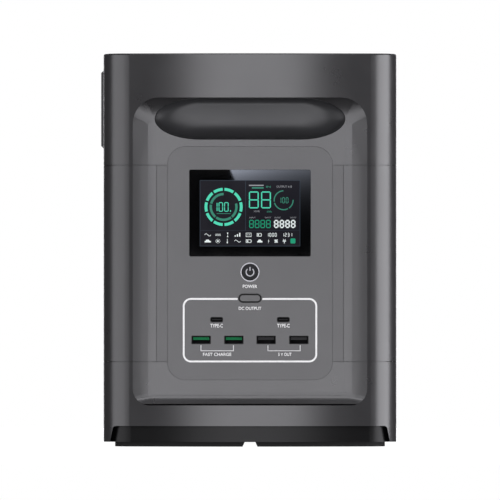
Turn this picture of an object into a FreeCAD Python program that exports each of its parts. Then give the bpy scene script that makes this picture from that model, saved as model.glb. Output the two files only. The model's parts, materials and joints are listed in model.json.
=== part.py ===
"""Portable power station, millimetres, +Z up, front towards -Y.

The origin is on the ground under the middle of the case. A case of two shells and two side panels
stands on a base tray with four rubber feet. Each end has a shallow recess with a hand cup behind a
carrying bar. The front recess holds the control panel. The rear one, which is the front one turned
half round, holds the sockets.
"""
import FreeCAD, Part
import math
import os
import re
import Sketcher
from FreeCAD import Matrix, Placement, Rotation, Vector

doc = FreeCAD.newDocument("power_station")
sheet = doc.addObject("Spreadsheet::Sheet", "Sizes")

SIZES = {
    # case
    "body_width": 211,
    "body_length": 392.4,
    "body_height": 283,
    "corner_radius": 28,
    "bow_radius": 260,
    "wall": 3,
    "top_rounding": 1.5,
    "shell_foot": 3.4,
    "seam_gap": 0.4,
    "lower_seam": 61.1,
    "upper_seam": 202.6,
    "tongue_depth": 2.2,
    "tongue_reach": 5,
    "top_dish_margin": 26,
    "top_dish_depth": 0.8,
    # recess in each end
    "floor_plane": 179,
    "recess_half_width": 84.3,
    "recess_low": 29.7,
    "recess_high": 251.2,
    "recess_upper_corner": 19,
    "recess_lower_corner": 12,
    "recess_reach": 80,
    "side_cove_start": 67.7,
    "side_turn": 10,
    "side_turn_radius": 33,
    "side_cove_end": 20,
    "side_cove": 128,
    "top_cove": 40,
    "top_cove_height": 21,
    "top_cove_end": 50,
    "upper_crease": 27,
    "lower_crease": 6,
    "sill_slope": 50,
    "sill_rounding": 8,
    "sill_nose": 184.8,
    "groove_height": 1.1,
    "groove_back": 181.5,
    "frame_half_width": 67.3,
    # hand cup
    "cup_flat": 36,
    "cup_end": 32.6,
    "cup_height": 30,
    "cup_middle": 235.9,
    "cup_depth": 30,
    "cup_upper_rounding": 5,
    "cup_lower_rounding": 13,
    "cup_wall": 2.5,
    "finger_half_width": 50,
    "finger_top": 264,
    "finger_rounding": 6,
    # control panel and the frame behind it
    "panel_width": 119,
    "panel_height": 168.2,
    "panel_middle": 132,
    "panel_corner": 13,
    "panel_thickness": 3,
    "frame_thickness": 3,
    "frame_overlap": 3.2,
    "frame_low": 44,
    "frame_high": 217.4,
    # display
    "glass_width": 87.5,
    "glass_height": 62.6,
    "glass_corner": 1.2,
    "glass_thickness": 1.9,
    "glass_ledge": 1.6,
    "glass_middle": 168.1,
    "module_thickness": 7.5,
    "board_thickness": 1.6,
    # buttons
    "power_middle": 125.6,
    "power_radius": 6.9,
    "ring_width": 0.8,
    "button_clearance": 0.25,
    "button_travel": 0.6,
    "pill_middle": 106.8,
    "pill_width": 16.9,
    "pill_height": 6.7,
    "ac_button_width": 15,
    "ac_button_height": 9,
    # USB ports
    "usb_a_middle": 76.8,
    "usb_a_inner": 11.6,
    "usb_a_outer": 35.1,
    "usb_a_width": 13.9,
    "usb_a_height": 6,
    "usb_a_depth": 14,
    "usb_c_middle": 91.4,
    "usb_c_across": 24,
    "usb_c_width": 9.1,
    "usb_c_height": 3.7,
    "usb_c_depth": 8,
    "port_skin": 0.35,
    # base tray and feet
    "band_top": 14.9,
    "band_half_top": 98.5,
    "band_half_foot": 101,
    "band_rounding": 2.5,
    "tray_clearance": 0.2,
    "tray_floor": 3,
    "tray_rim": 18,
    "foot_outer": 97.2,
    "foot_inner": 5.4,
    "foot_slant": 2.2,
    "foot_flare": 1.6,
    "foot_depth": 34,
    "foot_setback": 10.5,
    # side grilles and fans
    "grille_low": 215,
    "grille_high": 271.5,
    "grille_length": 150,
    "left_grille_proud": 2.3,
    "right_grille_proud": 0.5,
    "grille_border": 5,
    "grille_slots": 22,
    "grille_slot_width": 3,
    "fan_size": 50,
    "fan_depth": 15,
    "fan_spacing": 64,
    # battery
    "cell_radius": 16.5,
    "cell_length": 140,
    "cell_pitch": 34,
    "cell_columns": 8,
    "cell_rows": 2,
    "pack_foot": 8,
    "terminal_radius": 7,
    "terminal_length": 3,
    "holder_thickness": 12,
    "busbar_thickness": 1,
    # decks above the battery
    "chassis_level": 84,
    "chassis_thickness": 2.5,
    "spacer_height": 5.5,
    "spacer_radius": 3,
    "upper_deck": 165,
    # rear sockets: places are as seen when facing the rear
    "outlet_width": 34,
    "outlet_height": 30,
    "outlet_across": 22,
    "outlet_low": 156,
    "outlet_high": 192,
    "car_across": -36,
    "car_middle": 121,
    "car_bore": 10.5,
    "car_rim": 14,
    "car_depth": 32,
    "jack_across": -6,
    "jack_low": 113,
    "jack_high": 129,
    "jack_bore": 2.8,
    "inlet_across": -32,
    "inlet_middle": 76,
    "solar_across": 4,
    "solar_middle": 84,
    "breaker_across": 38,
    "breaker_middle": 86,
    "expansion_across": 24,
    "expansion_middle": 62,
}

for row, (alias, number) in enumerate(SIZES.items(), start=1):
    sheet.set(f"A{row}", alias)
    sheet.set(f"B{row}", str(number))
    sheet.setAlias(f"B{row}", alias)
doc.recompute()

nodes = []


# ---- ways of building ---------------------------------------------------------------------------------

def formula(text):
    """A formula of sheet names, as an expression names them."""
    def cell(word):
        return "Sizes." + word.group() if word.group() in SIZES else word.group()
    return re.sub(r"[a-z][a-z_]*", cell, str(text))


def bind(thing, prop, text):
    """Tie one property to the sheet."""
    thing.setExpression(prop, formula(text))


def node(thing, label):
    """Count an object as a sub-part of the assembly."""
    thing.Label = label
    nodes.append(thing)
    return thing


def turn_to_rear(thing):
    """Turn a piece made for the front end half round, onto the rear end."""
    thing.Placement = Placement(Vector(), Rotation(Vector(0, 0, 1), 180)).multiply(thing.Placement)
    return thing


def block(name, across, along, up):
    """A box between two values on each axis."""
    made = doc.addObject("Part::Box", name)
    for prop, axis, (low, high) in (("Length", "x", across), ("Width", "y", along), ("Height", "z", up)):
        bind(made, prop, f"({high}) - ({low})")
        bind(made, f"Placement.Base.{axis}", f"{low}")
    return made


def rod(name, radius, length, axis, start):
    """A cylinder from a start point along +X, +Y or +Z."""
    made = doc.addObject("Part::Cylinder", name)
    bind(made, "Radius", radius)
    bind(made, "Height", length)
    made.Placement = Placement(Vector(), Rotation(Vector(0, 0, 1), axis))
    for letter, value in zip("xyz", start):
        bind(made, f"Placement.Base.{letter}", value)
    return made


ALONG_X = Vector(1, 0, 0)
ALONG_Y = Vector(0, 1, 0)
ALONG_Z = Vector(0, 0, 1)


def fuse(name, *pieces):
    made = doc.addObject("Part::MultiFuse", name)
    made.Shapes = list(pieces)
    made.Refine = True
    return made


def common(name, one, other):
    made = doc.addObject("Part::Common", name)
    made.Base = one
    made.Tool = other
    return made


def cut(name, base, *tools):
    """The base less every tool."""
    made = doc.addObject("Part::Cut", name)
    made.Base = base
    made.Tool = tools[0] if len(tools) == 1 else fuse(name + "_tools", *tools)
    return made


def group(name, pieces):
    """Alike pieces that share one node and stay separate solids."""
    made = doc.addObject("Part::Compound", name)
    made.Links = list(pieces)
    return made


def shaped(name, shape):
    """A piece whose surface no primitive gives."""
    made = doc.addObject("Part::Feature", name)
    made.Shape = shape
    return made


def new_body(name):
    return doc.addObject("PartDesign::Body", name)


def sketch_on(body, name, role, x=0, y=0, level=0):
    """A sketch on one of the body's own origin planes, moved to x, y and lifted to a level."""
    sketch = body.newObject("Sketcher::SketchObject", name)
    plane = next(item for item in body.Origin.OriginFeatures if item.Role == role)
    sketch.AttachmentSupport = [(plane, "")]
    sketch.MapMode = "FlatFace"
    for axis, value in (("x", x), ("y", y), ("z", level)):
        bind(sketch, f"AttachmentOffset.Base.{axis}", value)
    return sketch


def end_sketch(body, name, x=0, z=0, level="floor_plane"):
    """A sketch that faces the front, at a distance from the middle of the case."""
    return sketch_on(body, name, "XZ_Plane", x, z, level)


def constrain(sketch, kind, *about, tie=None):
    """Add a constraint, tied to the sheet where it has a size."""
    number = sketch.addConstraint(Sketcher.Constraint(kind, *about))
    if tie is not None:
        bind(sketch, f"Constraints[{number}]", tie)


def draw_circle(sketch, radius):
    first = sketch.addGeometry(Part.Circle(Vector(), Vector(0, 0, 1), 5))
    constrain(sketch, "Coincident", first, 3, -1, 1)
    constrain(sketch, "Radius", first, 5, tie=radius)
    return sketch


def draw_rectangle(sketch, width, height):
    """A rectangle centred on the sketch's origin."""
    corners = [Vector(-5, -4), Vector(5, -4), Vector(5, 4), Vector(-5, 4)]
    ends = corners[1:] + corners[:1]
    first = sketch.GeometryCount
    sketch.addGeometry([Part.LineSegment(a, b) for a, b in zip(corners, ends)])
    for side in range(4):
        constrain(sketch, "Coincident", first + side, 2, first + (side + 1) % 4, 1)
        constrain(sketch, ("Horizontal", "Vertical")[side % 2], first + side)
    constrain(sketch, "Symmetric", first, 1, first + 2, 1, -1, 1)
    constrain(sketch, "DistanceX", first, 1, first, 2, 10, tie=width)
    constrain(sketch, "DistanceY", first + 1, 1, first + 1, 2, 8, tie=height)
    return sketch


def draw_rounded(sketch, width, height, radius):
    """A rectangle with round corners, centred on the sketch's origin."""
    half, tall, r = 10, 8, 2
    centres = [(half - r, tall - r), (r - half, tall - r), (r - half, r - tall), (half - r, r - tall)]
    pieces = []
    for quarter, (x, y) in enumerate(centres):
        start = quarter * math.pi / 2
        circle = Part.Circle(Vector(x, y), Vector(0, 0, 1), r)
        pieces.append(Part.ArcOfCircle(circle, start, start + math.pi / 2))
    lines = []
    for quarter in range(4):
        after = pieces[(quarter + 1) % 4]
        lines.append(Part.LineSegment(pieces[quarter].EndPoint, after.StartPoint))
    first = sketch.GeometryCount
    sketch.addGeometry(pieces)
    sketch.addGeometry(lines)
    for quarter in range(4):
        constrain(sketch, "Tangent", first + quarter, 2, first + 4 + quarter, 1)
        constrain(sketch, "Tangent", first + 4 + quarter, 2, first + (quarter + 1) % 4, 1)
        constrain(sketch, ("Horizontal", "Vertical")[quarter % 2], first + 4 + quarter)
    for quarter in (1, 2, 3):
        constrain(sketch, "Equal", first, first + quarter)
    constrain(sketch, "Symmetric", first, 3, first + 2, 3, -1, 1)
    constrain(sketch, "Radius", first, r, tie=radius)
    constrain(sketch, "DistanceX", first + 4, 2, first + 4, 1, 2 * (half - r),
              tie=f"({width}) - 2 * ({radius})")
    constrain(sketch, "DistanceY", first + 5, 2, first + 5, 1, 2 * (tall - r),
              tie=f"({height}) - 2 * ({radius})")
    return sketch


def draw_pill(sketch, width, height):
    """A level slot with round ends, centred on the sketch's origin."""
    half, r = 6, 3
    right = Part.ArcOfCircle(Part.Circle(Vector(half, 0), Vector(0, 0, 1), r), -math.pi / 2, math.pi / 2)
    left = Part.ArcOfCircle(Part.Circle(Vector(-half, 0), Vector(0, 0, 1), r), math.pi / 2, 3 * math.pi / 2)
    first = sketch.GeometryCount
    sketch.addGeometry([right, Part.LineSegment(right.EndPoint, left.StartPoint), left,
                        Part.LineSegment(left.EndPoint, right.StartPoint)])
    for side in range(4):
        constrain(sketch, "Tangent", first + side, 2, first + (side + 1) % 4, 1)
    constrain(sketch, "Horizontal", first + 1)
    constrain(sketch, "Equal", first, first + 2)
    constrain(sketch, "Symmetric", first, 3, first + 2, 3, -1, 1)
    constrain(sketch, "Radius", first, r, tie=f"({height}) / 2")
    constrain(sketch, "DistanceX", first + 1, 2, first + 1, 1, 2 * half, tie=f"({width}) - ({height})")
    return sketch


def pad(body, sketch, length, back=False):
    """Raise a sketch along its normal, or back from it."""
    made = body.newObject("PartDesign::Pad", sketch.Name + "_pad")
    made.Profile = sketch
    made.Reversed = back
    bind(made, "Length", length)
    doc.recompute()
    return made


def pocket(body, sketch, depth):
    """Sink a sketch against its normal, and prove that it took something away."""
    before = body.Shape.Volume
    made = body.newObject("PartDesign::Pocket", sketch.Name + "_pocket")
    made.Profile = sketch
    made.Reversed = False
    bind(made, "Length", depth)
    doc.recompute()
    if body.Shape.Volume >= before - 1e-6:
        raise RuntimeError(f"{sketch.Name} cuts nothing")
    return made


def soften(body, kind, size, choose):
    """Fillet or chamfer the edges of the body's tip that a test picks."""
    tip = body.Tip
    picked = [f"Edge{n}" for n, edge in enumerate(tip.Shape.Edges, start=1) if choose(edge.BoundBox)]
    made = body.newObject("PartDesign::" + kind, f"{tip.Name}_{kind.lower()}")
    made.Base = (tip, picked)
    bind(made, "Radius" if kind == "Fillet" else "Size", size)
    doc.recompute()
    return made


# ---- the case -----------------------------------------------------------------------------------------

def draw_plan(sketch, inset):
    """The plan of the case drawn in by an inset: straight sides, round corners and bowed ends."""
    half = sheet.body_width / 2
    corner = sheet.corner_radius
    bow = sheet.bow_radius
    across = half - corner
    bow_centre = bow - sheet.body_length / 2
    along = math.sqrt((bow - corner) ** 2 - across ** 2) - bow_centre
    lean = math.asin(across / (bow - corner))

    def arc(x, y, radius, start, end):
        return Part.ArcOfCircle(Part.Circle(Vector(x, y), Vector(0, 0, 1), radius), start, end)

    quarter = math.pi / 2
    sketch.addGeometry([
        Part.LineSegment(Vector(half, -along), Vector(half, along)),
        arc(across, along, corner, 0, quarter - lean),
        arc(0, -bow_centre, bow, quarter - lean, quarter + lean),
        arc(-across, along, corner, quarter + lean, 2 * quarter),
        Part.LineSegment(Vector(-half, along), Vector(-half, -along)),
        arc(-across, -along, corner, 2 * quarter, 3 * quarter - lean),
        arc(0, bow_centre, bow, 3 * quarter - lean, 3 * quarter + lean),
        arc(across, -along, corner, 3 * quarter + lean, 4 * quarter),
    ])
    for piece in range(8):
        constrain(sketch, "Tangent", piece, 2, (piece + 1) % 8, 1)
    for later in (3, 5, 7):
        constrain(sketch, "Equal", 1, later)
    constrain(sketch, "Equal", 2, 6)
    constrain(sketch, "Vertical", 0)
    constrain(sketch, "Vertical", 4)
    constrain(sketch, "PointOnObject", 2, 3, -2)
    constrain(sketch, "PointOnObject", 6, 3, -2)
    constrain(sketch, "Radius", 1, corner, tie=f"corner_radius - ({inset})")
    constrain(sketch, "Radius", 2, bow, tie=f"bow_radius - ({inset})")
    constrain(sketch, "DistanceX", -1, 1, 0, 1, half, tie=f"body_width / 2 - ({inset})")
    constrain(sketch, "DistanceX", 4, 1, -1, 1, half, tie=f"body_width / 2 - ({inset})")
    constrain(sketch, "DistanceY", 2, 3, -1, 1, bow_centre, tie="bow_radius - body_length / 2")
    constrain(sketch, "DistanceY", -1, 1, 6, 3, bow_centre, tie="bow_radius - body_length / 2")
    return sketch


def plan_block(name, inset, low, high):
    """A solid of the case's plan between two heights."""
    body = new_body(name)
    sketch = sketch_on(body, name + "_plan", "XY_Plane", level=low)
    draw_plan(sketch, inset)
    doc.recompute()
    pad(body, sketch, f"({high}) - ({low})")
    return body


def recess_outline(grow):
    """The recess as seen from the front: straight sides, with wide corners above and tighter ones below."""
    half = sheet.recess_half_width + grow
    low = sheet.recess_low - grow
    high = sheet.recess_high + grow
    upper = sheet.recess_upper_corner + grow
    lower = sheet.recess_lower_corner + grow
    corners = [(half, low, lower, -45), (half, high, upper, 45), (-half, high, upper, 135),
               (-half, low, lower, 225)]
    edges = []
    stops = []
    for x, z, radius, _ in corners:
        inward_x = -math.copysign(radius, x)
        inward_z = radius if z == low else -radius
        beside = Vector(x, 0, z + inward_z)
        level = Vector(x + inward_x, 0, z)
        stops.append((level, beside) if (x > 0) == (z == low) else (beside, level))
    for (x, z, radius, angle), (start, end) in zip(corners, stops):
        centre = Vector(x - math.copysign(radius, x), 0, z + (radius if z == low else -radius))
        turn = math.radians(angle)
        middle = centre + Vector(math.cos(turn), 0, math.sin(turn)) * radius
        edges.append(Part.Arc(start, middle, end).toShape())
    for (_, start), (end, _) in zip(stops, stops[1:] + stops[:1]):
        edges.append(Part.LineSegment(start, end).toShape())
    return Part.Face(Part.Wire(Part.__sortEdges__(edges)))


def side_trough(grow):
    """The plan of the recess: a flat floor that turns up at each side, then rises in a wide cove."""
    floor = sheet.floor_plane - grow
    out = sheet.floor_plane + sheet.recess_reach
    start = sheet.side_cove_start
    turn, last = math.radians(sheet.side_turn), math.radians(sheet.side_cove_end)
    apart = sheet.side_cove - sheet.side_turn_radius
    near = (start, -sheet.floor_plane - sheet.side_turn_radius)
    far = (start - apart * math.sin(turn), near[1] - apart * math.cos(turn))

    def on_arc(side, centre, radius, angle):
        reach = radius + grow
        return Vector(side * (centre[0] + reach * math.sin(angle)), centre[1] + reach * math.cos(angle), 0)

    edges = [Part.LineSegment(Vector(-start, -floor, 0), Vector(start, -floor, 0)).toShape()]
    for side in (1, -1):
        for centre, radius, low, high in ((near, sheet.side_turn_radius, 0, turn),
                                          (far, sheet.side_cove, turn, last)):
            places = [on_arc(side, centre, radius, angle) for angle in (low, (low + high) / 2, high)]
            edges.append(Part.Arc(*places).toShape())
        end = places[-1]
        edges.append(Part.LineSegment(end, Vector(end.x, -out, 0)).toShape())
    half = abs(end.x)
    edges.append(Part.LineSegment(Vector(half, -out, 0), Vector(-half, -out, 0)).toShape())
    return Part.Face(Part.Wire(Part.__sortEdges__(edges)))


def sill_line():
    """The floor's foot: it turns out to a slope that ends in a nose, undercut along the sill."""
    slope = math.radians(sheet.sill_slope)
    radius = sheet.sill_rounding
    nose = Vector(0, -sheet.sill_nose, sheet.recess_low + sheet.groove_height)
    touch_depth = sheet.floor_plane + radius * (1 - math.cos(slope))
    foot_high = nose.z + (sheet.sill_nose - touch_depth) / math.tan(slope)
    touch = Vector(0, -touch_depth, foot_high)
    centre_z = foot_high + radius * math.sin(slope)
    half = slope / 2
    middle = Vector(0, radius * math.cos(half) - sheet.floor_plane - radius,
                    centre_z - radius * math.sin(half))
    start = Vector(0, -sheet.floor_plane, centre_z)
    groove = Vector(0, -sheet.groove_back, sheet.recess_low)
    edges = [Part.Arc(start, middle, touch).toShape()]
    for one, other in ((touch, nose), (nose, groove)):
        edges.append(Part.LineSegment(one, other).toShape())
    return start, edges, groove


def lining_line(grow):
    """The inner side of the wall at the floor's foot, one plain slope clear of the groove."""
    start = Vector(0, grow - sheet.floor_plane, sheet.recess_low + grow + 1)
    end = Vector(0, -sheet.floor_plane, sheet.recess_low - grow)
    return start, [Part.LineSegment(start, end).toShape()], end


def upright_trough(grow):
    """The side view of the recess: the sill, the flat floor, and a wide cove under the bar."""
    foot, edges, sill = lining_line(grow) if grow else sill_line()
    out = sheet.floor_plane + sheet.recess_reach
    floor = sheet.floor_plane - grow
    radius = sheet.top_cove + grow
    centre = Vector(0, -sheet.floor_plane - sheet.top_cove, sheet.recess_high - sheet.top_cove_height)
    last = math.radians(sheet.top_cove_end)

    def on_cove(turn):
        return centre + Vector(0, math.cos(turn), math.sin(turn)) * radius

    head, end = Vector(0, -floor, centre.z), on_cove(last)
    edges.append(Part.LineSegment(foot, head).toShape())
    edges.append(Part.Arc(head, on_cove(last / 2), end).toShape())
    stops = [end, Vector(0, -out, end.z), Vector(0, -out, sill.z), sill]
    for one, other in zip(stops, stops[1:]):
        edges.append(Part.LineSegment(one, other).toShape())
    return Part.Face(Part.Wire(Part.__sortEdges__(edges)))


def roll_creases(hollow):
    """Rolls the edges within the recess where the side coves meet the cove above and the slope below."""
    within = recess_outline(-1).extrude(Vector(0, -sheet.floor_plane - sheet.recess_reach, 0))

    def creases(upper):
        found = []
        for edge in hollow.Edges:
            if edge.Degenerated or edge.Curve.TypeId == "Part::GeomLine":
                continue
            middle = edge.valueAt((edge.FirstParameter + edge.LastParameter) / 2)
            if within.isInside(middle, 1e-6, False) and (middle.z > sheet.panel_middle) == upper:
                found.append(edge)
        return found

    hollow = hollow.makeFillet(sheet.lower_crease, creases(False))
    return hollow.makeFillet(sheet.upper_crease, creases(True))


def recess_block(name, grow):
    """The hollow of one end: what its outline and its two troughs have in common."""
    width, height = 2 * sheet.body_width, 2 * sheet.body_height
    outline = recess_outline(grow).extrude(Vector(0, -sheet.floor_plane - sheet.recess_reach, 0))
    plan = side_trough(grow).extrude(Vector(0, 0, height))
    upright = upright_trough(grow).extrude(Vector(width, 0, 0))
    upright.translate(Vector(-width / 2, 0, 0))
    hollow = outline.common(plan).common(upright).removeSplitter().Solids[0]
    return shaped(name, hollow if grow else roll_creases(hollow))


def both_ends(name, make, *sizes):
    """The same hollow at the front and, turned half round, at the rear."""
    return [make(name + "_front", *sizes), turn_to_rear(make(name + "_rear", *sizes))]


def cup_scoop(name, grow, front):
    """A pill-shaped hollow with half-elliptic ends. Its back edge is tight above and wide below."""
    flat = sheet.cup_flat
    end = sheet.cup_end + grow
    half = sheet.cup_height / 2 + grow
    back = grow - sheet.floor_plane + sheet.cup_depth
    quarter = math.pi / 2

    def end_arc(x, start):
        oval = Part.Ellipse(Vector(x, 0, 0), end, half)
        return Part.ArcOfEllipse(oval, start, start + 2 * quarter).toShape()

    edges = [end_arc(flat, -quarter), end_arc(-flat, quarter)]
    edges += [Part.LineSegment(Vector(-flat, z, 0), Vector(flat, z, 0)).toShape() for z in (-half, half)]
    outline = Part.Face(Part.Wire(Part.__sortEdges__(edges)))
    outline.rotate(Vector(), ALONG_X, 90)
    outline.translate(Vector(0, back, sheet.cup_middle))
    raw = shaped(name + "_raw", outline.extrude(Vector(0, front - back, 0)))
    rolled = doc.addObject("Part::Fillet", name)
    rolled.Base = raw

    def rounding(vertex):
        upper = vertex.Z > sheet.cup_middle
        return grow + (sheet.cup_upper_rounding if upper else sheet.cup_lower_rounding)

    rolled.Edges = [(number, rounding(edge.Vertexes[0]), rounding(edge.Vertexes[-1]))
                    for number, edge in enumerate(raw.Shape.Edges, start=1)
                    if edge.BoundBox.YMin > back - 1e-6]
    return rolled


def cup_hollow(name, grow, front):
    """The space that a hand fills: the scoop, and the room for fingers behind the bar.
    The room opens out of the scoop's ceiling, clear of the rolled edge at its back."""
    scoop = cup_scoop(name + "_scoop", grow, front)
    back = grow - sheet.floor_plane + sheet.cup_depth - sheet.cup_upper_rounding
    near = sheet.wall + sheet.cup_wall - sheet.floor_plane - grow
    share = (sheet.finger_half_width - sheet.cup_flat) / sheet.cup_end
    foot = sheet.cup_middle + sheet.cup_height / 2 * math.sqrt(1 - share ** 2)
    room = Part.makeBox(2 * (sheet.finger_half_width + grow), back - near,
                        sheet.finger_top + grow - foot,
                        Vector(-sheet.finger_half_width - grow, near, foot))
    soft = [edge for edge in room.Edges if edge.BoundBox.ZMin > sheet.finger_top - 1]
    return fuse(name, scoop, shaped(name + "_room", room.makeFillet(sheet.finger_rounding, soft)))


def make_hand_cup(label, lining):
    """A moulded cup that closes the case behind the bar and takes the fingers. Its lip meets the lining."""
    outer = cup_hollow(label + "_outer", sheet.cup_wall, -sheet.body_length / 2)
    inner = cup_hollow(label + "_inner", 0, -sheet.body_length / 2 - 1)
    return node(cut(label, outer, inner, lining), label)


def make_case_wall():
    """The skin of the case before it is parted, with the space inside it and the linings of its recesses."""
    outside = plan_block("case_outside", 0, "shell_foot", "body_height")
    soften(outside, "Fillet", "top_rounding", lambda box: box.ZMin > sheet.body_height - 1e-6)
    inside_block = plan_block("case_inside_block", "wall", "shell_foot - 1", "body_height - wall")
    linings = both_ends("lining", recess_block, sheet.wall)
    inside = cut("case_inside", inside_block, *linings)
    skin = cut("case_skin", outside, inside, *both_ends("recess", recess_block, 0))
    return skin, inside, linings


def make_tongue(inside):
    """A band just inside the skin, from which the shells get the tongues that back their seams."""
    core_block = plan_block("tongue_core_block", "wall + tongue_depth", "shell_foot",
                            "body_height - wall - 1")
    core = cut("tongue_core", core_block,
               *both_ends("tongue_lining", recess_block, sheet.wall + sheet.tongue_depth))
    return cut("tongue_band", inside, core)


def panel_opening(name):
    """The round-cornered hole that the control panel fills."""
    body = new_body(name)
    sketch = end_sketch(body, name + "_outline", z="panel_middle", level="floor_plane + panel_thickness")
    draw_rounded(sketch, "panel_width", "panel_height", "panel_corner")
    doc.recompute()
    pad(body, sketch, "2 * panel_thickness + seam_gap", back=True)
    return body


def cup_opening(name):
    """The hole that the hand cup needs in the floor of the recess."""
    return cup_scoop(name, 0, -sheet.body_length / 2)


def band_notch(name):
    """The flared notch at the foot of an end, through which the base tray shows."""
    body = new_body(name)
    sketch = end_sketch(body, name + "_outline", level="body_length / 2 + wall")
    top, foot = sheet.band_top, sheet.shell_foot - 1
    half_top, half_foot = sheet.band_half_top, sheet.band_half_foot
    corners = [Vector(-half_foot, foot), Vector(half_foot, foot), Vector(half_top, top),
               Vector(-half_top, top)]
    sketch.addGeometry([Part.LineSegment(a, b) for a, b in zip(corners, corners[1:] + corners[:1])])
    for side in range(4):
        constrain(sketch, "Coincident", side, 2, (side + 1) % 4, 1)
    constrain(sketch, "Symmetric", 0, 1, 0, 2, -2)
    constrain(sketch, "Symmetric", 2, 1, 2, 2, -2)
    constrain(sketch, "DistanceX", 0, 1, 0, 2, 2 * half_foot, tie="2 * band_half_foot")
    constrain(sketch, "DistanceX", 2, 2, 2, 1, 2 * half_top, tie="2 * band_half_top")
    constrain(sketch, "DistanceY", -1, 1, 0, 1, foot, tie="shell_foot - 1")
    constrain(sketch, "DistanceY", -1, 1, 2, 1, top, tie="band_top")
    doc.recompute()
    pad(body, sketch, "foot_depth + corner_radius", back=True)
    upright = sheet.band_top - sheet.shell_foot
    soften(body, "Fillet", "band_rounding",
           lambda box: box.ZMin > upright and box.ZMax - box.ZMin < 1e-6 and box.XMax - box.XMin < 1e-6)
    return body


def seam_tongue(name, band, seam):
    """The stretch of the band behind one seam, left open behind the frames of the two ends."""
    slab = block(name + "_slab", ("-body_width", "body_width"), ("-body_length", "body_length"),
                 (f"{seam} - tongue_reach", f"{seam} + tongue_reach"))
    gaps = [block(name + "_gap_" + side, ("-frame_half_width - frame_overlap - tray_clearance",
                                          "frame_half_width + frame_overlap + tray_clearance"),
                  along, ("0", "body_height"))
            for side, along in (("front", ("-body_length", "-body_length / 3")),
                                ("rear", ("body_length / 3", "body_length")))]
    return cut(name, common(name + "_ring", band, slab), *gaps)


def make_shells():
    """The skin parted at its seams: two shells, each with its tongue, and a panel on each side."""
    skin, inside, linings = make_case_wall()
    band = make_tongue(inside)
    wide = ("-body_width", "body_width")
    long = ("-body_length", "body_length")

    upper = common("upper_skin", skin, block("upper_zone", wide, long,
                                             ("upper_seam + seam_gap / 2", "body_height + wall")))
    holes = both_ends("upper_panel_hole", panel_opening) + both_ends("cup_hole", cup_opening)
    holes += [side_hole("side_hole_right", 1), side_hole("side_hole_left", -1)]
    holes.append(plan_block("top_dish", "top_dish_margin", "body_height - top_dish_depth",
                            "body_height + wall"))
    open_skin = cut("upper_open", upper, *holes)
    node(fuse("top_shell", open_skin, seam_tongue("upper_tongue", band, "upper_seam")), "top_shell")

    lower = common("lower_skin", skin, block("lower_zone", wide, long, ("0", "lower_seam - seam_gap / 2")))
    notches = both_ends("lower_panel_hole", panel_opening) + both_ends("notch", band_notch)
    open_skin = cut("lower_open", lower, *notches)
    node(fuse("bottom_shell", open_skin, seam_tongue("lower_tongue", band, "lower_seam")), "bottom_shell")

    middle = ("lower_seam + seam_gap / 2", "upper_seam - seam_gap / 2")
    inner_edge = "frame_half_width + seam_gap / 2"
    right = common("right_side", skin, block("right_zone", (inner_edge, "body_width"), long, middle))
    left = common("left_side", skin, block("left_zone", ("-body_width", f"-({inner_edge})"), long, middle))
    node(right, "right_side_panel")
    node(left, "left_side_panel")
    for end, lining in zip(("front", "rear"), linings):
        cup = make_hand_cup(end + "_hand_cup", linings[0])
        if end == "rear":
            turn_to_rear(cup)


# ---- side grilles and fans ----------------------------------------------------------------------------

def side_hole(name, side):
    """The hole in one side of the top shell for the plug of a grille."""
    return block(name, (f"{side} * body_width / 2 - 2 * wall", f"{side} * body_width / 2 + 2 * wall"),
                 ("grille_border - grille_length / 2", "grille_length / 2 - grille_border"),
                 ("grille_low + grille_border", "grille_high - grille_border"))


def make_grille(label):
    """A louvred grille: a flange outside the case, and a plug that fills the hole."""
    proud = label + "_proud"
    body = new_body(label)
    flange = sketch_on(body, label + "_flange", "YZ_Plane", y="(grille_low + grille_high) / 2",
                       level="body_width / 2")
    draw_rectangle(flange, "grille_length", "grille_high - grille_low")
    pad(body, flange, proud)
    face = body.Shape.BoundBox.XMax
    soften(body, "Chamfer", proud + " * 0.8", lambda box: box.XMin > face - 1e-6)
    plug = sketch_on(body, label + "_plug", "YZ_Plane", y="(grille_low + grille_high) / 2",
                     level="body_width / 2")
    draw_rectangle(plug, "grille_length - 2 * grille_border - seam_gap",
                   "grille_high - grille_low - 2 * grille_border - seam_gap")
    pad(body, plug, "wall", back=True)
    pitch = "(grille_length - 3 * grille_border) / grille_slots"
    slot = sketch_on(body, label + "_slot", "YZ_Plane",
                     x=f"({pitch} - grille_length + 3 * grille_border) / 2",
                     y="(grille_low + grille_high) / 2", level="body_width / 2 + " + proud)
    draw_rectangle(slot, "grille_slot_width", "grille_high - grille_low - 3 * grille_border")
    first = pocket(body, slot, proud + " + 2 * wall")
    row = body.newObject("PartDesign::LinearPattern", label + "_slots")
    row.Originals = [first]
    row.Direction = (slot, ["H_Axis"])
    bind(row, "Length", f"{pitch} * (grille_slots - 1)")
    bind(row, "Occurrences", "grille_slots")
    body.Tip = row
    doc.recompute()
    return node(body, label)


def fan_place(along):
    """A fan stands inside the right grille, on its own axis."""
    x = sheet.body_width / 2 - sheet.wall
    return Placement(Vector(x, along, (sheet.grille_low + sheet.grille_high) / 2), Rotation())


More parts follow.
